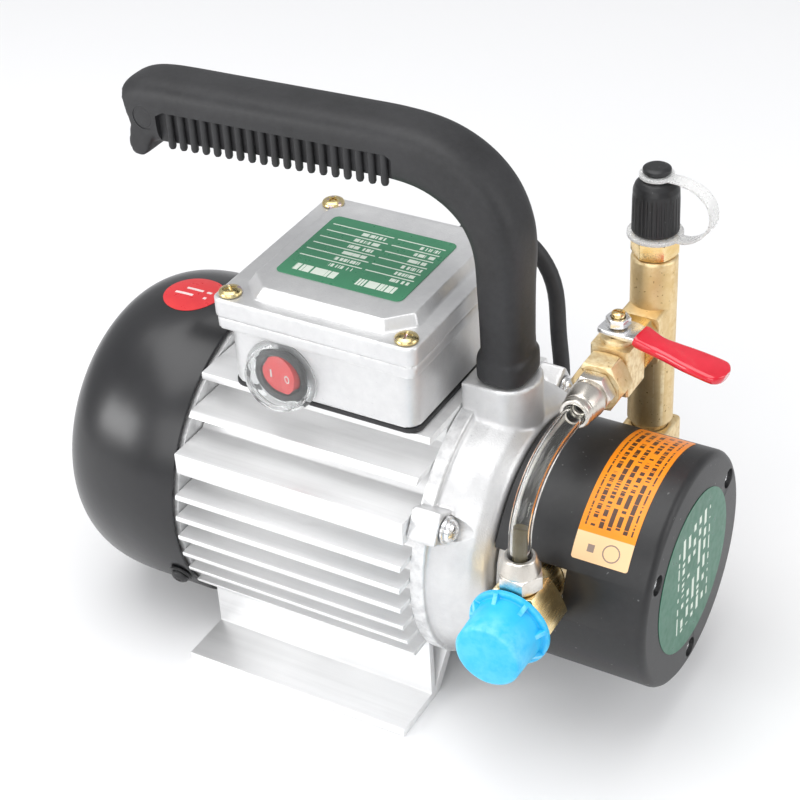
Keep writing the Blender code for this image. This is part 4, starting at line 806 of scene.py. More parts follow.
def flat_film(name, outline, thick, mat, axis, at, body="pump", turn=0.0, holes=()):
    lo = (min(p[0] for p in outline), min(p[1] for p in outline))
    hi = (max(p[0] for p in outline), max(p[1] for p in outline))
    o = prism(name, outline, 0.03, thick, axis, at, turn)
    if holes:
        combine(o, holes)
    me = o.data
    uv = me.uv_layers.get("UVMap") or me.uv_layers.new(name="UVMap")
    inv = place(axis, at, turn).inverted()
    for loop in me.loops:
        p = inv @ (me.vertices[loop.vertex_index].co / MM)
        uv.data[loop.index].uv = ((p.x - lo[0]) / (hi[0] - lo[0]), (p.y - lo[1]) / (hi[1] - lo[1]))
    bevel(o, min(0.08, thick * 0.4), 1, 60)
    return piece(o, body, None, mat)


disc = [(12.2 * math.cos(2 * math.pi * k / 96), 12.2 * math.sin(2 * math.pi * k / 96)) for k in range(96)]
STICK_X, STICK_A = -98.6, 89.4
wrapped("cowl_sticker", STICK_X, STICK_A, COWL_R, disc, 0.16, "label_red", shape=cowl_r)

# ---- motor frame -----------------------------------------------------------------


def arc(radius, z_from, z_to, n=4):
    a0 = math.asin(max(-1.0, min(1.0, (z_from - AXIS_Z) / radius)))
    a1 = math.asin(max(-1.0, min(1.0, (z_to - AXIS_Z) / radius)))
    return [(radius * math.cos(a0 + (a1 - a0) * i / n), AXIS_Z + radius * math.sin(a0 + (a1 - a0) * i / n)) for i in range(n + 1)]


def drop(radius, y):
    return AXIS_Z - math.sqrt(radius * radius - y * y)


PAD_WEB, PAD_Y, PAD_Z0, PAD_Z1 = 24.0, 36.2, 116.0, 119.2
half = [(0.0, PAD_Z1), (PAD_Y, PAD_Z1), (PAD_Y, PAD_Z0), (PAD_WEB, PAD_Z0)]
z = 2 * AXIS_Z - drop(BARREL_R, PAD_WEB)
for low, high, reach in [(f - FIN_T / 2, f + FIN_T / 2, None) for f in FIN_Z[:1]] + [(RAIL_Z - RAIL_H / 2, RAIL_Z + RAIL_H / 2, RAIL_Y)] + [(f - FIN_T / 2, f + FIN_T / 2, None) for f in FIN_Z[1:-1]]:
    half += arc(BARREL_R, z, high, 6)
    half += [(reach, high), (reach, low)] if reach else arc(FIN_R, high, low, 1)
    z = low
half += arc(BARREL_R, z, drop(BARREL_R, WEB_Y), 6)
low, high = FIN_Z[-1] - FIN_T / 2, FIN_Z[-1] + FIN_T / 2
half += [(WEB_Y, high)] + arc(FIN_R, high, low, 1) + [(WEB_Y, low), (WEB_Y, FOOT_T), (FOOT_HALF, FOOT_T), (FOOT_HALF, FLOOR), (38.6, FLOOR)]
half += arc(BARREL_R, drop(BARREL_R, 23.6), drop(BARREL_R, 6.0), 8) + [(6.0, 2.6)]
full = half + [(-y, z) for y, z in half[:0:-1]]
full = round_profile(full, 0.55, 3, closed=True)
pocket = [(41.6, FOOT_T + 0.8), (41.6, drop(BARREL_R, 41.6))] + arc(BARREL_R, drop(BARREL_R, 41.6), drop(BARREL_R, 27.2), 8)[1:]
fr = prism("frame_extrusion", [(-z, y) for y, z in full], FRAME_X0, FRAME_X1, "X", (0, 0, 0))
cuts = [lathe("fb", [(60, 0), (60, BARREL_IN), (-100, BARREL_IN), (-100, 0)], "X", AX, 128)]
for s in (-1, 1):
    cuts.append(prism("fp", [(-z, y * s) for y, z in pocket], -100, 60, "X", (0, 0, 0)))
for a in (30, 150, 270):
    y, z = yz(a, BOLT_R)
    cuts.append(lathe("ft", [(60, 0), (60, 2.5), (-100, 2.5), (-100, 0)], "X", (0, y, z), 32))
combine(fr, cuts)
bevel(fr, 0.22, 2, 40)
piece(fr, "pump", ["motor_frame"], "extruded_aluminium")

# ---- front bell ---------------------------------------------------------------------
X1 = FRAME_X1 + 0.3
bell = lathe("front_bell_casting", [(X1, 46.3), (X1, BARREL_R + 4.0), (33.0, BARREL_R + 4.0), (33.2, BELL_R), (42.0, 53.0), (49.0, 50.6), (BELL_X1 - 1.0, 47.6), (BELL_X1, 45.6),
                           (BELL_X1, 9.5), (39.0, 9.5), (39.0, 16.2), (24.5, 16.2), (24.5, 22.0), (36.0, 24.0), (36.0, 46.3)], "X", AX, 144, ring=True, r=0.6)
ears = []
for i, a in enumerate((30, 150, 270)):
    m, at = on_round(a, 0, BOLT_R - 2.5)
    ears.append(prism("ear%d" % i, rounded(X1, 39.9, -6.4, 6.4, 1.2, 3), -9.0, 8.6, m, at))
boss = [(28.2, -12.8), (GRIP_X, -12.8)] + [(GRIP_X + 12.8 * math.sin(math.radians(7.5 * i)), -12.8 * math.cos(math.radians(7.5 * i))) for i in range(1, 24)] + [(GRIP_X, 12.8), (28.2, 12.8)]
ears.append(prism("boss", boss, 104.0, 129.0))
combine(bell, ears, "UNION")
cast(bell, 0.75, 4, 0.5)
combine(bell, [lathe("bell_rim", [(X1, 50.0), (X1, BARREL_R + 4.4), (32.9, BARREL_R + 4.4), (33.3, BARREL_R + 4.0), (33.3, 50.0)], "X", AX, 144, ring=True, turn=0.01)], "UNION", sharp=42)
cuts = []
for i, a in enumerate((30, 150, 270)):
    y, z = yz(a, BOLT_R)
    cuts.append(lathe("eb", [(60, 0), (60, 5.9), (39.6, 5.9), (39.6, 2.6), (25, 2.6), (25, 0)], "X", (0, y, z), 48, turn=0.1))
cuts.append(prism("bt", [(10, -40), (10, 40), (80, 40), (80, -40)], 128.95, 140))
cuts.append(prism("bl", [(10, -90), (10, 90), (X1 + 0.05, 90), (X1 + 0.05, -90)], -10, 140))
combine(bell, cuts, sharp=42)
piece(bell, "pump", ["front_bell"], "cast_aluminium")
for i, a in enumerate((30, 150, 270)):
    y, z = yz(a, BOLT_R)
    pan_screw("tie_screw_fine_%d" % (i + 1), 4.3, 3.2, "X", (41.1, y, z), "pump", ["tie_screw_%d" % (i + 1)], "zinc", washer=0.9, washer_t=1.2, shank=2.1, length=33.4, turn=0.5 * i)

# ---- junction box, gasket, lid ----------------------------------------------------------
gasket = prism("box_gasket_fine", rounded(-55.4, 23.2, -37.6, 37.6, 5), 119.5, 121.5)
bevel(gasket, 0.3, 2)
piece(gasket, "pump", ["box_gasket"], "black_rubber")
jb = prism("junction_box_casting", rounded(BOX_X0, BOX_X1, -BOX_Y, BOX_Y, 7, 10), BOX_Z0, BOX_Z1 + 1.0)
combine(jb, [prism("jf", rounded(LID_X0 + 0.5, LID_X1 - 0.5, -LID_Y + 0.5, LID_Y - 0.5, 3.6, 8), BOX_Z1, BOX_Z2)], "UNION")
cast(jb, 0.8, 5, 0.5)
cuts = [prism("jh", chamfered(BOX_X0 + 3, BOX_X1 - 3, -BOX_Y + 3, BOX_Y - 3, 9), BOX_Z0 + 3, 160),
        lathe("js", [(2, 0), (2, 9.2), (-6, 9.2), (-6, 0)], "-Y", (SWITCH_X, -BOX_Y, SWITCH_Z), 48, turn=0.1),
        lathe("jg", [(2, 0), (2, 7.6), (-6, 7.6), (-6, 0)], "Y", (GLAND_X, BOX_Y, GLAND_Z), 48),
        block("jl", (-24, -6, 115), (-8, 6, 130))]
for x in LID_SCREW_X:
    for y in (-LID_SCREW_Y, LID_SCREW_Y):
        cuts.append(lathe("jt", [(162, 0), (162, 2.2), (147.3, 2.2), (147.3, 0)], "Z", (x, y, 0), 24))
combine(jb, cuts, sharp=42)
piece(jb, "pump", ["junction_box"], "cast_aluminium")

lid = prism("box_lid_casting", rounded(LID_X0, LID_X1, -LID_Y, LID_Y, 4, 10), BOX_Z2 + 0.3, LID_Z)
plat = []
for x0, x1, y, c, dz in [(LID_X0 + 6.6, LID_X1 - 5.8, LID_Y - 5.4, 8.8, 0), (LID_X0 + 10.2, LID_X1 - 7.8, LID_Y - 7.9, 8.2, 5.2)]:
    plat.append([(x, yy, LID_Z - 0.8 + dz) for x, yy in chamfered(x0, x1, -y, y, c)])
plat.insert(0, [(x, y, LID_Z - 3) for x, y, _ in plat[0]])
combine(lid, [loft("lp", plat)], "UNION")
cast(lid, 0.6, 1, 0.5)
cuts = [prism("lh", chamfered(BOX_X0 + 3, BOX_X1 - 3, -BOX_Y + 3, BOX_Y - 3, 11), 140, LID_Z - 1.6)]
n = 0
spots = []
for x in LID_SCREW_X:
    for y in (-LID_SCREW_Y, LID_SCREW_Y):
        n += 1
        cuts.append(lathe("lt", [(162, 0), (162, 2.2), (147.3, 2.2), (147.3, 0)], "Z", (x, y, 0), 24))
        spots.append((x, y, n))
combine(lid, cuts, sharp=42)
piece(lid, "pump", ["box_lid"], "cast_aluminium")
for x, y, n in spots:
    pan_screw("lid_screw_fine_%d" % n, 4.4, 2.2, "Z", (x, y, LID_Z + 0.3), "pump", ["lid_screw_%d" % n], "yellow_zinc", shank=1.8, length=9.6, turn=0.5 * n)
flat_film("lid_label", rounded(-26.4, 26.4, -22.0, 22.0, 2.6, 8), 0.28, "label_green", "Z", (-16.2, 0, LID_Z + 4.4))

# ---- switch, gland -----------------------------------------------------------------------
SW = (SWITCH_X, -BOX_Y, SWITCH_Z)
sb = lathe("switch_bezel", [(-2.8, 0), (-2.8, 8.3), (2.2, 8.4), (2.2, 11.0), (0.3, 11.5), (0.3, 8.8), (-3.3, 8.8), (-3.3, 6.0), (-17, 6.0), (-17, 0)], "-Y", SW, 96, r=0.35)
piece(sb, "pump", ["switch_body"], "black_plastic")
tabs = merge("switch_terminals", [block("st%d" % k, (SWITCH_X - 2.4 + 0.0, -BOX_Y + 17.2, SWITCH_Z - 4.6 + 7.4 * k), (SWITCH_X + 2.4, -BOX_Y + 24.0, SWITCH_Z - 3.8 + 7.4 * k)) for k in range(2)])
bevel(tabs, 0.12, 1)
piece(tabs, "pump", None, "brass")
side_ = [(-9.0, 0.5), (-9.0, -3.0), (-5.0, -2.1), (0.0, -1.4), (5.0, -2.1), (9.0, -3.0), (9.0, 0.5), (4.0, 1.9), (-4.0, 1.9)]
rk = prism("rocker_fine", side_, -9.0, 9.0, "Z", SW, math.radians(-9))
tiltm = Matrix.Rotation(math.radians(-9), 3, "Z") @ Matrix.Rotation(math.pi / 2, 3, "X")
combine(rk, [lathe("rr", [(8, 0), (8, 7.6), (-8, 7.6), (-8, 0)], tiltm, SW, 96)], "INTERSECT")
bevel(rk, 0.35, 3, 14)
piece(rk, "rocker", ["switch_rocker"], "red_plastic")
# generic on and off marks, standing 0.15 mm proud of the rocker's two faces
rm = Matrix.Rotation(math.radians(-9), 3, "Z")


def on_rocker(name, pts, x_sign):
    """Small mark on one half of the rocker; pts are (across, up) in mm."""
    bm = bmesh.new()
    lay = []
    for lift in (-0.05, 0.13):
        row = []
        for u, w in pts:
            ax_ = abs(u)
            yy = -1.4 - 0.7 * min(ax_, 5.0) / 5.0 - 0.9 * max(0.0, ax_ - 5.0) / 4.0
            p = rm @ Vector((u, yy - lift, w))
            row.append(bm.verts.new((p + Vector(SW) + D) * MM))
        lay.append(row)
    n_ = len(pts)
    bm.faces.new(lay[0])
    bm.faces.new(lay[1][::-1])
    for k in range(n_):
        bm.faces.new((lay[0][k], lay[1][k], lay[1][(k + 1) % n_], lay[0][(k + 1) % n_]))
    return to_object(name, bm)


bar = on_rocker("mark_on", [(-4.35, -1.7), (-3.75, -1.7), (-3.75, 1.7), (-4.35, 1.7)], -1)
quads = []
for k in range(20):
    a0, a1 = 2 * math.pi * k / 20, 2 * math.pi * (k + 1) / 20
    quads.append([(3.9 + 1.7 * math.cos(a0) * 0.8, 1.7 * math.sin(a0)), (3.9 + 1.7 * math.cos(a1) * 0.8, 1.7 * math.sin(a1)),
                  (3.9 + 1.2 * math.cos(a1) * 0.8, 1.2 * math.sin(a1)), (3.9 + 1.2 * math.cos(a0) * 0.8, 1.2 * math.sin(a0))])
ringm = merge("rocker_marks", [bar] + [on_rocker("q%d" % k, q, 1) for k, q in enumerate(quads)])
piece(ringm, "rocker", None, "white_plastic")
boot = lathe("switch_boot_fine", [(10.0, 0), (9.7, 5.5), (9.2, 9.4), (8.4, 11.2), (6.9, 12.3), (3.9, 12.9), (3.4, 14.0), (2.0, 14.6), (0.3, 14.6), (0.3, 12.2), (3.4, 12.1), (6.2, 11.4), (8.4, 8.6), (9.0, 5.2), (9.2, 0)],
             "-Y", SW, 128, r=0.5, sharp=60)
piece(boot, "pump", ["switch_boot"], "clear_plastic")

gl = nut("gland_fine", 17.0, 0.3, 6.0, "Y", (GLAND_X, BOX_Y, GLAND_Z))
gc = lathe("gc", [(24.0, 0), (24.0, 4.4), (21.6, 4.55), (8.0, 6.2), (5.8, 7.4), (0.3, 7.2), (-5.5, 7.2), (-5.5, 0)], "Y", (GLAND_X, BOX_Y, GLAND_Z), 72, r=0.3)
for k in range(5):
    h = 9.4 + 2.7 * k
    rr = 6.1 - 0.13 * (h - 8.0)
    combine(gc, [lathe("gg", [(h + 1.1, 9), (h + 1.1, rr - 0.95), (h, rr - 0.95), (h, 9)], "Y", (GLAND_X, BOX_Y, GLAND_Z), 72, ring=True)])
gl = merge("cable_gland_fine", [gl, gc])
piece(gl, "pump", ["cable_gland"], "black_plastic")

# ---- handle --------------------------------------------------------------------------------
grip_path = [(GRIP_X, 129.4), (GRIP_X, 132), (GRIP_X, 135), (GRIP_X, 138.4), (GRIP_X + 0.1, 139.6), (GRIP_X + 0.1, 150), (GRIP_X, 166), (GRIP_X, 180), (39.2, 190), (34.4, 199.5), (26.0, 207.2),
             (14.5, 212.2), (0, 213.9), (-20, 213.4), (-45, 212.4), (-70, 211.2), (-92, 210.0), (-101, 209.4), (-106, 208.6), (-109.4, 207.6)]
grip_size = [(9.7, 11.4), (9.9, 11.7), (9.9, 11.7), (9.7, 11.6), (8.5, 10.8), (8.4, 10.8), (8.7, 11.3), (9.2, 12.0), (9.8, 12.2), (10.4, 12.4), (10.8, 12.5),
             (10.9, 12.5), (10.9, 12.5), (11.2, 12.5), (11.6, 12.5), (12.2, 12.5), (12.9, 12.5), (12.8, 12.4), (12.3, 12.1), (11.2, 11.5)]


def spline(vals, t):
    n_ = len(vals) - 1
    i_ = min(int(t), n_ - 1)
    f = t - i_
    p = [Vector(vals[max(0, min(n_, i_ + k))]) for k in (-1, 0, 1, 2)]
    return 0.5 * ((2 * p[1]) + (p[2] - p[0]) * f + (2 * p[0] - 5 * p[1] + 4 * p[2] - p[3]) * f * f + (3 * p[1] - p[0] - 3 * p[2] + p[3]) * f ** 3)


rings = []
NS = 150
cpts = [spline(grip_path, (len(grip_path) - 1) * i / NS) for i in range(NS + 1)]
csz = [spline(grip_size, (len(grip_path) - 1) * i / NS) for i in range(NS + 1)]
for i, p in enumerate(cpts):
    a, b = cpts[max(i - 1, 0)], cpts[min(i + 1, NS)]
    t = Vector((b.x - a.x, 0, b.y - a.y)).normalized()
    n_ = Vector((t.z, 0, -t.x))
    hh, ww = csz[i]
    ring = []
    for k in range(72):
        ang = 2 * math.pi * (k + 0.5) / 72
        c, s_ = math.cos(ang), math.sin(ang)
        ca, sa = math.copysign(abs(c) ** (2 / 3.2), c), math.copysign(abs(s_) ** (2 / 3.2), s_)
        q = Vector((p.x, 0, p.y)) + n_ * (hh * ca)
        ring.append((q.x, ww * sa, q.z))
    rings.append(ring)
grip = loft("handle_rubber", rings, sharp=50)
hook = prism("hook", [(-107.3, 206.3), (-97.3, 206.1), (-99.7, 198.7), (-101.6, 193.6), (-104.6, 191.6), (-108.6, 192.4), (-109.9, 196.2), (-108.7, 202.3)], -12.0, 12.05, "-Y")
combine(grip, [hook], "UNION")
cast(grip, 0.9, 6, 0.5)
# a long recess down each side, filled again with a row of round-edged ribs
cuts = []
for s in (-1, 1):
    y0, y1 = sorted((10.1 * s, 20.0 * s))
    cuts.append(prism("gr", [(-95.4, 190.0), (2.6, 190.0), (4.0, 213.4), (1.6, 215.0), (-92.0, 212.2), (-95.4, 210.2)], -y1, -y0, "-Y"))
combine(grip, [merge("grip_recess", cuts)], sharp=48)
ribs = []
for k in range(19):
    x = -90.2 + 5.02 * k
    f = (k + 0.5) / 19
    for s in (-1, 1):
        low_, top_ = 198.4 + 5.2 * f, 212.2 + 2.2 * f
        prof_ = [(top_ + 2.6, 0)] + [(top_ + 0.6, 1.25), (top_, 1.45), (low_, 1.45), (low_ - 0.9, 1.05), (low_ - 1.4, 0)]
        ribs.append(lathe("rib", prof_, "Z", (x, 10.75 * s, 0), 20))
combine(grip, [merge("grip_ribs", ribs)], "UNION", sharp=48)
piece(grip, "pump", ["handle_grip"], "black_rubber")
for s in (-1, 1):
    plug_mark = lathe("grip_plug_%s" % ("front" if s < 0 else "back"), [(0.35, 0), (0.35, 3.6), (0.1, 3.9), (-0.6, 3.9), (-0.6, 4.6), (0.25, 4.7), (0.05, 5.1), (-2.0, 5.1), (-2.0, 0)], "-Y" if s < 0 else "Y", (-101.0, 12.15 * s, 208.6), 64, r=0.1)
    piece(plug_mark, "pump", None, "black_rubber")

# ---- pump head ----------------------------------------------------------------------------------
cv = lathe("pump_cover_shell", [(HEAD_X0, HEAD_R - 0.3), (HEAD_X0 + 0.3, HEAD_R), (HEAD_X1 - 3.0, HEAD_R), (HEAD_X1 - 2.0, HEAD_R - 0.2), (HEAD_X1 - 0.9, HEAD_R - 0.9), (HEAD_X1 - 0.2, HEAD_R - 2.0), (HEAD_X1, HEAD_R - 3.0), (HEAD_X1, 0), (HEAD_X1 - 3.2, 0),
                             (HEAD_X1 - 3.2, 41.9), (HEAD_X0, 41.9)], "X", AX, 192, ring=True, sharp=50)
cover_at = [yz(a, COVER_SCREW_R) for a in (31.3, 151.3, 271.3)]
cuts = [lathe("cr", [(120, 0), (120, 4.3), (HEAD_X1 - 0.6, 3.9), (HEAD_X1 - 3.0, 3.7), (HEAD_X1 - 3.0, 1.9), (98, 1.9), (98, 0)], "X", (0, y, z), 64, turn=0.09) for y, z in cover_at]
for s in (-1, 1):
    y0, y1 = (30, 50) if s > 0 else (-50, -30)
    cuts.append(block("cn", (HEAD_X0 - 2, y0, PORT_Z - 9.6), (PORT_X + 9.6, y1, PORT_Z + 9.6)))
combine(cv, cuts, sharp=45)
bevel(cv, 0.18, 2, 50)
piece(cv, "pump", ["pump_cover"], "black_plastic")
for i, (y, z) in enumerate(cover_at):
    pan_screw("cover_screw_fine_%d" % (i + 1), 3.1, 1.7, "X", (HEAD_X1 - 2.7, y, z), "pump", ["cover_screw_%d" % (i + 1)], "zinc", shank=1.5, length=12.4, turn=0.4 * i)
face = [(32.0 * math.cos(2 * math.pi * k / 160), 32.0 * math.sin(2 * math.pi * k / 160)) for k in range(160)]
flat_film("face_label", face, 0.26, "label_round", "X", (HEAD_X1, 0, AXIS_Z))
a_lo, a_hi = 32.0, 120.0                 # degrees from -Y side up and over, measured from the front
span = math.radians(88.0) * HEAD_R
band = rounded(-10.8, 10.8, -span / 2, span / 2, 1.0, 4)
# front end low on the -Y side: v runs from the front end to the back end
bm_band = wrapped("band_label", 94.8, 90 + 14.0, HEAD_R, [(x, y) for x, y in band], 0.2, "label_band", steps=44)
for loop in bm_band.data.uv_layers["UVMap"].data:
    loop.uv.y = 1.0 - loop.uv.y

# ---- inlet -------------------------------------------------------------------------------------
PT = (PORT_X, 0, PORT_Z)
ib = nut("ih", 25.0, 49.2, 65.4, "-Y", PT)
stub = lathe("is", [(80.6, 6.4), (80.6, 9.6), (79.6, 10.6), (66.0, 10.6), (60, 10.6), (49.0, 8.9), (48.2, 8.1), (34.6, 8.1), (34.6, 5.0), (50, 5.0)], "-Y", PT, 96, ring=True)
combine(ib, [stub], "UNION")
cuts = [lathe("ib", [(90, 0), (90, 6.0), (40, 5.0), (30, 5.0), (30, 0)], "-Y", PT, 64, turn=0.1), lathe("it", [(30, 0), (30, 4.95), (1.3, 4.95), (1.3, 0)], "Z", (PORT_X, INLET_Y, PORT_Z), 42, turn=0.17)]
combine(ib, cuts, sharp=40)
ib.name = "inlet_brass"
piece(ib, "pump", ["inlet_body"], M["brass_cut"])


def ferrule(name, hexf, h0, h1, prof, bore, axis, at, node):
    """Compression fitting: hexagon, collar, grooved nut and bore."""
    o = nut(name + "h", hexf, h0, h1, axis, at)
    combine(o, [lathe(name + "n", prof, axis, at, 96, r=0.35)], "UNION", sharp=40)
    combine(o, [lathe(name + "b", bore, axis, at, 48)], sharp=40)
    o.name = name
    return piece(o, "pump", [node], "nickel")


IZ = (PORT_X, INLET_Y, PORT_Z)
ferrule("lower_fitting_fine", 15.0, 13.2, 19.4, [(25.6, 0), (25.6, 5.5), (25.2, 5.9), (19.8, 7.35), (18.8, 7.35), (18.0, 6.4), (12.8, 6.4), (12.7, 4.6), (4.0, 4.6), (4.0, 0)],
        [(27.0, 0), (27.0, 4.4), (20.0, 4.4), (20.0, 2.4), (0, 2.4), (0, 0)], "Z", IZ, "lower_fitting")
VV = (PILLAR_X, 0, VALVE_Z)
ferrule("upper_fitting_fine", 14.0, -3.4, 2.0, [(15.0, 0), (15.0, 5.4), (14.6, 5.8), (13.2, 6.0), (13.0, 5.6), (11.6, 5.7), (11.2, 6.1), (5.4, 7.1), (4.0, 7.1), (3.2, 6.2), (1.4, 6.2), (-3.2, 6.2), (-3.3, 4.6), (-11.0, 4.6), (-11.0, 0)],
        [(16.0, 0), (16.0, 4.4), (9.8, 4.4), (9.8, 2.4), (-14, 2.4), (-14, 0)], "-Y", VV, "upper_fitting")

# blue cap: ribbed body and a castellated flange
CAP = PT
pr = [(84.6, 0), (84.6, 10.9), (84.3, 11.8), (83.6, 12.35), (72.0, 12.8), (68.4, 12.95), (68.0, 13.4), (68.2, 14.7), (67.9, 15.3), (67.3, 15.4), (66.3, 15.4), (66.0, 15.1), (66.0, 11.0), (82.2, 11.0), (82.2, 0)]
ic = lathe("inlet_cap_fine", pr, "-Y", CAP, 144, sharp=40)
ribs = []
for k in range(8):
    a = 2 * math.pi * (k + 0.36) / 8
    out_, ax_ = Vector((math.cos(a), 0, math.sin(a))), Vector((0, -1, 0))
    m = Matrix((out_, ax_, out_.cross(ax_))).transposed()
    ribs.append(prism("ck", [(12.2, 67.0), (15.25, 67.0), (15.25, 68.6), (14.6, 69.4), (13.0, 71.6), (12.2, 71.8)], -0.8, 0.85, m, CAP))
combine(ic, [merge("ckm", ribs)], "UNION", sharp=40)
bevel(ic, 0.18, 2, 40)
piece(ic, "inlet_cap", ["inlet_cap"], "blue_plastic")

# sight tube: wall, and the oil standing in its lower end
TA, TB = Vector((PORT_X, INLET_Y, PORT_Z + 20.6)), Vector((PILLAR_X, -10.4, VALVE_Z))
tk = [TA, TA + Vector((0, 0, 8)), TA + Vector((0.0, 1.4, 17.0)), (PORT_X, -51.0, 119.4), (PORT_X, -41.6, 126.0), (PORT_X, -31.0, 129.2), TB + Vector((0, -9, 0.1)), TB]
tp = smooth_path(tk, 1.3)


def tube_rings(pts, radius, count=40):
    out, sd = [], Vector((1, 0, 0))
    for i, p in enumerate(pts):
        t = (pts[min(i + 1, len(pts) - 1)] - pts[max(i - 1, 0)]).normalized()
        sd = (sd - t * sd.dot(t)).normalized()
        u_ = t.cross(sd)
        out.append([tuple(p + (sd * math.cos(2 * math.pi * k / count) + u_ * math.sin(2 * math.pi * k / count)) * radius) for k in range(count)])
    return out


outer_r, inner_r = tube_rings(tp, 4.05), tube_rings(tp, 2.75)
bm = bmesh.new()
ro = [[bm.verts.new((Vector(p) + D) * MM) for p in r_] for r_ in outer_r]
ri = [[bm.verts.new((Vector(p) + D) * MM) for p in r_] for r_ in inner_r]
for a, b in list(zip(ro, ro[1:])) + list(zip(ri, ri[1:])) + [(ro[0], ri[0]), (ro[-1], ri[-1])]:
    for i in range(40):
        bm.faces.new((a[i], a[(i + 1) % 40], b[(i + 1) % 40], b[i]))
st = to_object("sight_tube_fine", bm, 60)
piece(st, "pump", ["sight_tube"], M["tube_clear"])
oil_pts = [p for p in tp if p.z < TA.z + 17.0]
oil = loft("tube_oil", tube_rings(oil_pts, 2.7, 32), sharp=60)
piece(oil, "pump", None, M["oil"])

# ---- valve ---------------------------------------------------------------------------------------
vb = prism("valve_brass", rounded(-7.6, 7.6, -7.8, 7.8, 1.2, 4), -9.0, 10.2, "Z", (PILLAR_X, VALVE_Y, VALVE_Z))
combine(vb, [lathe("vk", [(12.6, 0), (12.6, 4.6), (12.0, 5.2), (11.6, 6.0), (10.6, 6.4), (4, 6.4), (4, 0)], "Z", (PILLAR_X, VALVE_Y, VALVE_Z), 72),
             nut("vh", 18.2, -VALVE_Y + 8.8, -VALVE_Y + 18.4, "-Y", VV),
             lathe("vn", [(-VALVE_Y + 14, 0), (-VALVE_Y + 14, 7.0), (-VALVE_Y - 7.9, 7.0), (-VALVE_Y - 8.0, 6.3), (-VALVE_Y - 18.4, 6.3), (-VALVE_Y - 18.5, 0)], "-Y", VV, 72, turn=0.07)], "UNION", sharp=40)
combine(vb, [lathe("vo", [(20, 0), (20, 4.9), (-VALVE_Y + 9, 4.9), (-VALVE_Y + 8, 3.2), (-60, 3.2), (-60, 0)], "-Y", VV, 44, turn=0.13),
             lathe("vs", [(6.6 * math.cos(math.radians(a)), 6.6 * math.sin(math.radians(a))) for a in range(0, 181, 15)], "Z", (PILLAR_X, VALVE_Y, VALVE_Z), 44, turn=0.21),
             lathe("vt", [(20, 0), (20, 3.0), (0.3, 3.0), (0.3, 0)], "Z", (PILLAR_X, VALVE_Y, VALVE_Z), 44, turn=0.07)], sharp=40)
bevel(vb, 0.35, 3, 35)
piece(vb, "pump", ["valve_body"], "brass")
ad = nut("valve_adapter_fine", 18.6, -VALVE_Y - 18.2, -VALVE_Y - 8.2, "-Y", VV, hole=6.7)
piece(ad, "pump", ["valve_adapter"], M["brass_cut"])
VC = (PILLAR_X, VALVE_Y, VALVE_Z)
sn = nut("stem_nut_fine", 8.0, 16.4, 19.6, "Z", VC, 0.3, hole=2.9)
piece(sn, "valve_handle", ["stem_nut"], "zinc")
ball = lathe("valve_stem_fine", [(21.6, 0), (21.6, 1.9), (21.2, 2.5), (5.4, 2.6)] + [(6.2 * math.cos(math.radians(a)), 6.2 * math.sin(math.radians(a))) for a in range(30, 181, 10)][:-1] + [(-6.2, 0)], "Z", VC, 64)
combine(ball, [lathe("bh", [(12, 0), (12, 2.9), (-12, 2.9), (-12, 0)], "X", VC, 40),
               block("bs", (PILLAR_X - 4, VALVE_Y - 0.35, VALVE_Z + 20.9), (PILLAR_X + 4, VALVE_Y + 0.35, VALVE_Z + 23))], sharp=40)
piece(ball, "valve_handle", ["valve_ball"], M["brass_cut"])
LT = math.radians(-6.0)


def strip(name, stations, thick, rnd, count=8, raw=False, end=None):
    """Strip with rounded edges through (distance, height, half width) stations."""
    rings = []
    pts = [spline(stations, (len(stations) - 1) * i / (len(stations) * 5)) for i in range(len(stations) * 5 + 1)] if not raw else [Vector(s_) for s_ in stations]
    for i, (d, h, w) in enumerate(pts):
        a, c = pts[max(i - 1, 0)], pts[min(i + 1, len(pts) - 1)]
        t = Vector((c[0] - a[0], 0, c[1] - a[1])).normalized()
        nn = Vector((-t.z, 0, t.x))
        rings.append([])
        th = thick if end is None else thick + (end - thick) * max(0.0, min(1.0, (d - 11.0) / 24.0))
        for u_, v_ in rounded(-w, w, -th / 2, th / 2, min(rnd, w * 0.9, th * 0.49), 5):
            q = Vector((d, 0, h)) + nn * v_
            rings[-1].append(tuple(Matrix.Rotation(LT, 3, "Z") @ Vector((q.x, u_, q.z)) + Vector(VC)))
    return loft(name, rings, sharp=45)


lv = strip("lever_plate", [(-6.0, 14.6, 4.2), (-4.5, 14.6, 5.4), (4.5, 14.6, 5.6), (8.0, 14.4, 5.0), (11.0, 13.5, 4.6), (16.0, 12.1, 4.4), (40.0, 9.4, 4.4)], 1.9, 0.5)
combine(lv, [lathe("lh", [(25, 0), (25, 2.9), (10, 2.9), (10, 0)], "Z", VC, 40)], sharp=45)
piece(lv, "valve_handle", ["valve_lever"], "zinc")
sl = strip("lever_grip", [(8.8, 14.2, 5.4), (9.6, 14.0, 5.7), (11.0, 13.5, 5.6), (16.0, 12.1, 5.0), (22.0, 11.4, 5.4), (28.0, 10.7, 6.2), (34.0, 10.1, 6.6), (40.0, 9.4, 6.6), (42.0, 9.1, 5.6), (43.2, 8.9, 3.8), (43.6, 8.8, 2.4)], 4.3, 2.0, end=3.5)
combine(sl, [strip("lb", [(2.0, 15.2, 5.0), (8.0, 14.45, 5.0), (11.0, 13.5, 4.75), (16.0, 12.1, 4.7), (40.6, 9.34, 4.7)], 2.3, 0.4, raw=True)], sharp=45)
piece(sl, "valve_handle", ["lever_sleeve"], "red_vinyl")

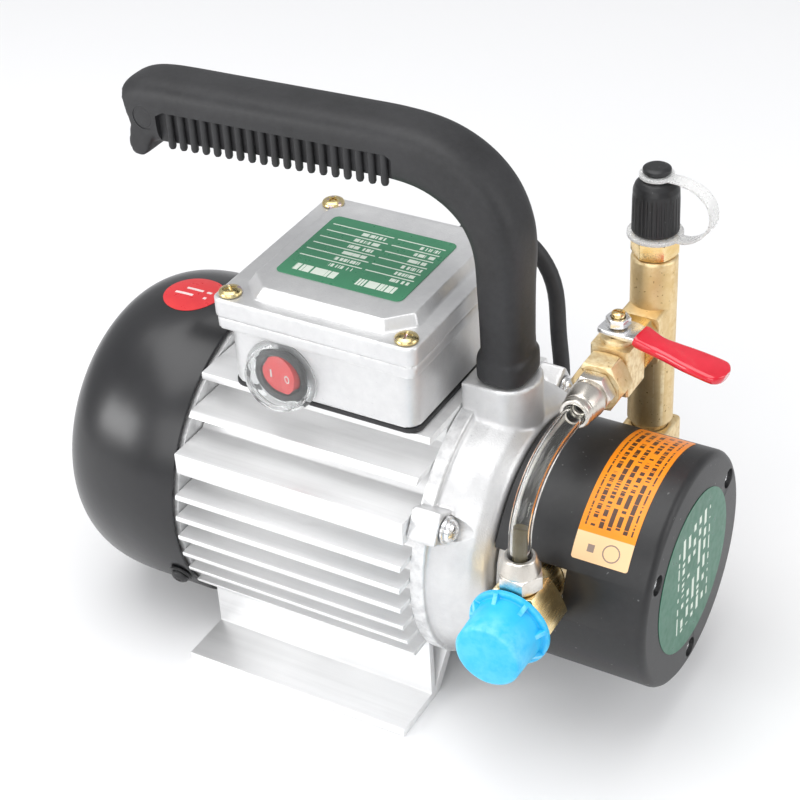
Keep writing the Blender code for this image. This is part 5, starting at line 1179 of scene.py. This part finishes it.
# ---- outlet pillar ---------------------------------------------------------------------------------
PL = (PILLAR_X, PILLAR_Y, 0)
pl = lathe("pillar_brass", [(PILLAR_TOP, 0), (PILLAR_TOP, 7.7), (PILLAR_TOP - 0.5, 8.5), (PILLAR_TOP - 1.2, PILLAR_R), (86.0, PILLAR_R), (84.0, 7.0), (75.4, 6.6), (75.4, 0)], "Z", PL, 128)
combine(pl, [prism("pb", rounded(-8.0, 8.0, -10.5, 9.0, 1.6, 4), -PILLAR_Y, -40.6, "-Y", VV)], "UNION", sharp=40)
combine(pl, [lathe("pp", [(170, 0), (170, 6.9), (PILLAR_TOP - 9.0, 6.9), (PILLAR_TOP - 9.0, 3.6), (60, 3.6), (60, 0)], "Z", PL, 48),
             lathe("pq", [(-38, 0), (-38, 3.2), (-PILLAR_Y, 3.2), (-PILLAR_Y, 0)], "-Y", VV, 32)], sharp=40)
bevel(pl, 0.3, 2, 35)
piece(pl, "pump", ["discharge_pillar"], "brass")
eb = prism("outlet_elbow_fine", rounded(PILLAR_X - 9.4, PILLAR_X + 9.4, PILLAR_Y - 7.0, PILLAR_Y + 9.4, 1.8, 4), PORT_Z - 9.4, PORT_Z + 9.6)
bevel(eb, 1.2, 3, 40)
combine(eb, [lathe("es", [(PILLAR_Y - 2, 0), (PILLAR_Y - 2, 8.1), (34.6, 8.1), (34.6, 0)], "Y", PT, 64)], "UNION", sharp=40)
combine(eb, [lathe("et", [(90, 0), (90, 7.3), (75.0, 7.3), (75.0, 3.6), (PORT_Z - 1, 3.6), (PORT_Z - 1, 0)], "Z", PL, 48),
             lathe("eo", [(PILLAR_Y, 0), (PILLAR_Y, 4.4), (30, 4.4), (30, 0)], "Y", PT, 40)], sharp=40)
piece(eb, "pump", ["outlet_elbow"], "brass")
nh = nut("nh", 15.6, PILLAR_TOP + 0.4, PILLAR_TOP + 7.6, "Z", PL, 0.25)
thr = [(PILLAR_TOP + 24, 0), (PILLAR_TOP + 24, 4.8), (PILLAR_TOP + 21, 6.7)]
for k in range(10):
    zz = PILLAR_TOP + 20.6 - 1.1 * k
    thr += [(zz, 6.8), (zz - 0.25, 6.8), (zz - 0.55, 6.3), (zz - 0.8, 6.3)]
thr += [(PILLAR_TOP + 9.6, 6.2), (PILLAR_TOP - 1, 6.2), (PILLAR_TOP - 1.2, 6.6), (PILLAR_TOP - 8.6, 6.6), (PILLAR_TOP - 8.6, 0)]
combine(nh, [lathe("nt", thr, "Z", PL, 80)], "UNION", sharp=40)
combine(nh, [lathe("nb", [(200, 0), (200, 3.6), (140, 3.6), (140, 0)], "Z", PL, 40)], sharp=40)
nh.name = "outlet_nipple_fine"
piece(nh, "pump", ["outlet_nipple"], M["brass_cut"])
CAP_Z = PILLAR_TOP + 10.2
OC = (PILLAR_X, PILLAR_Y, CAP_Z)
oc = lathe("outlet_cap_fine", [(25.8, 0), (25.8, 3.6), (25.5, 4.4), (25.0, 5.2), (23.6, 5.2), (23.4, 3.7), (21.2, 3.7), (21.0, 5.4), (20.2, 6.6), (18.8, 7.8), (16.8, 8.5), (12.6, 8.7), (2.0, 8.8), (0.5, 8.8), (0.0, 8.4), (0.0, 7.1), (15.4, 7.1), (16.4, 0)], "Z", OC, 160, r=0.25, sharp=40)
cuts = []
for k in range(32):
    a = 2 * math.pi * k / 32
    cuts.append(lathe("of", [(16.4, 0), (16.4, 0.25), (14.8, 0.55), (1.4, 0.55), (0.8, 0.2), (0.8, 0)], "Z", (OC[0] + 8.95 * math.cos(a), OC[1] + 8.95 * math.sin(a), CAP_Z), 10, turn=0.3))
combine(oc, [merge("ofm", cuts)], sharp=40)
piece(oc, "outlet_cap", ["outlet_cap"], "black_plastic")
rl = lathe("strap_fine", [(PILLAR_TOP + 9.7, 10.2), (PILLAR_TOP + 9.5, 10.4), (PILLAR_TOP + 8.4, 10.4), (PILLAR_TOP + 8.2, 10.2), (PILLAR_TOP + 8.2, 7.3), (PILLAR_TOP + 9.7, 7.3)], "Z", PL, 96, ring=True)
rt = lathe("rt", [(CAP_Z + 22.9, 6.4), (CAP_Z + 21.7, 6.4), (CAP_Z + 21.7, 4.2), (CAP_Z + 22.9, 4.2)], "Z", PL, 72, ring=True, r=0.15)
bk = [(9.0, 8.95), (14.0, 9.6), (20.0, 13.6), (23.6, 20.0), (22.6, 26.6), (17.6, 31.0), (11.0, 32.6), (6.0, 32.5)]
bp_ = smooth_path([(x, 0, PILLAR_TOP + z) for x, z in bk], 1.2)
rings = []
rz = Matrix.Rotation(math.radians(-8), 3, "Z")
for i, p in enumerate(bp_):
    t = (bp_[min(i + 1, len(bp_) - 1)] - bp_[max(i - 1, 0)]).normalized()
    nn = Vector((-t.z, 0, t.x))
    rings.append([tuple(rz @ (p + nn * v_ + Vector((0, u_, 0))) + Vector(PL)) for u_, v_ in rounded(-3.0, 3.0, -0.5, 0.5, 0.4, 3)])
combine(rl, [rt, loft("sbnd", rings)], "UNION", sharp=45)
rl.data.materials.clear()
rl.data.materials.append(M["milky_plastic"])
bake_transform(rl)
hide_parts("cap_strap")
DONE.add("cap_strap")

# ---- finishes on the CAD nodes that stay ------------------------------------------------------------
for name, obj in frame["nodes"].items():
    if name in DONE:
        continue
    mat = M.get(SLOT.get(name), M["steel"])
    obj.data.materials.clear()
    obj.data.materials.append(mat)
    if name in ("stator_core", "rear_bell", "pump_body", "pump_end_plate", "motor_shaft", "rotor_core", "drive_gear", "idler_gear", "cooling_fan"):
        w = obj.modifiers.new("weld", "WELD")
        w.merge_threshold = 0.00001
        b = obj.modifiers.new("bevel", "BEVEL")
        b.width, b.segments, b.limit_method, b.angle_limit = 0.25 * MM, 2, "ANGLE", math.radians(38)

# ---- floor and light -----------------------------------------------------------------------------------
fm = Nodes("floor")
v = fm.coords()
fm.link(fm.mix(fm.ramp(fm.noise(v, 3.0, 3.0), 0.3, 0.7), (0.875, 0.875, 0.88), (0.89, 0.89, 0.895)), fm.bsdf.inputs["Base Color"])
fm.bsdf.inputs["Roughness"].default_value = 0.75
fm.bsdf.inputs["Specular IOR Level"].default_value = 0.25
bm = bmesh.new()
prof = [(-4.0, 0.0), (2.4, 0.0)] + [(2.4 + 1.0 * math.sin(math.radians(a)), 1.0 - math.cos(math.radians(a))) for a in range(10, 91, 10)] + [(3.4, 4.0)]
rows = [[bm.verts.new((x, y, z)) for x in (-5.0, 5.0)] for y, z in prof]
for a, b in zip(rows, rows[1:]):
    bm.faces.new((a[0], a[1], b[1], b[0]))
me = bpy.data.meshes.new("floor")
bm.to_mesh(me)
bm.free()
floor = bpy.data.objects.new("floor", me)
SCENE.collection.objects.link(floor)
me.shade_smooth()
me.materials.append(fm.mat)


def area(name, loc, target, size, energy, color=(1, 1, 1)):
    l = bpy.data.lights.new(name, "AREA")
    l.shape, l.size, l.size_y, l.energy, l.color = "RECTANGLE", size[0], size[1], energy, color
    o = bpy.data.objects.new(name, l)
    o.location = loc
    o.rotation_euler = (Vector(target) - Vector(loc)).to_track_quat("-Z", "Y").to_euler()
    SCENE.collection.objects.link(o)


area("key_top", (-0.15, -0.10, 1.30), (0.0, 0.02, 0.08), (1.3, 1.1), 11.6)
area("left_box", (-0.84, -0.98, 0.52), (-0.09, -0.05, 0.07), (0.62, 0.42), 6.0)
area("front_fill", (0.35, -1.35, 0.75), (0.0, 0.0, 0.08), (1.2, 0.8), 6.6)
area("right_box", (1.15, 0.25, 0.60), (0.0, 0.0, 0.10), (0.6, 0.9), 4.0)
world = bpy.data.worlds.new("studio")
SCENE.world = world
world.use_nodes = True
bg = world.node_tree.nodes["Background"]
bg.inputs[0].default_value = (0.93, 0.94, 0.96, 1.0)
bg.inputs[1].default_value = 0.54
SCENE.view_settings.view_transform = "Standard"

print("MISSING", sorted(set(frame["nodes"]) - DONE))
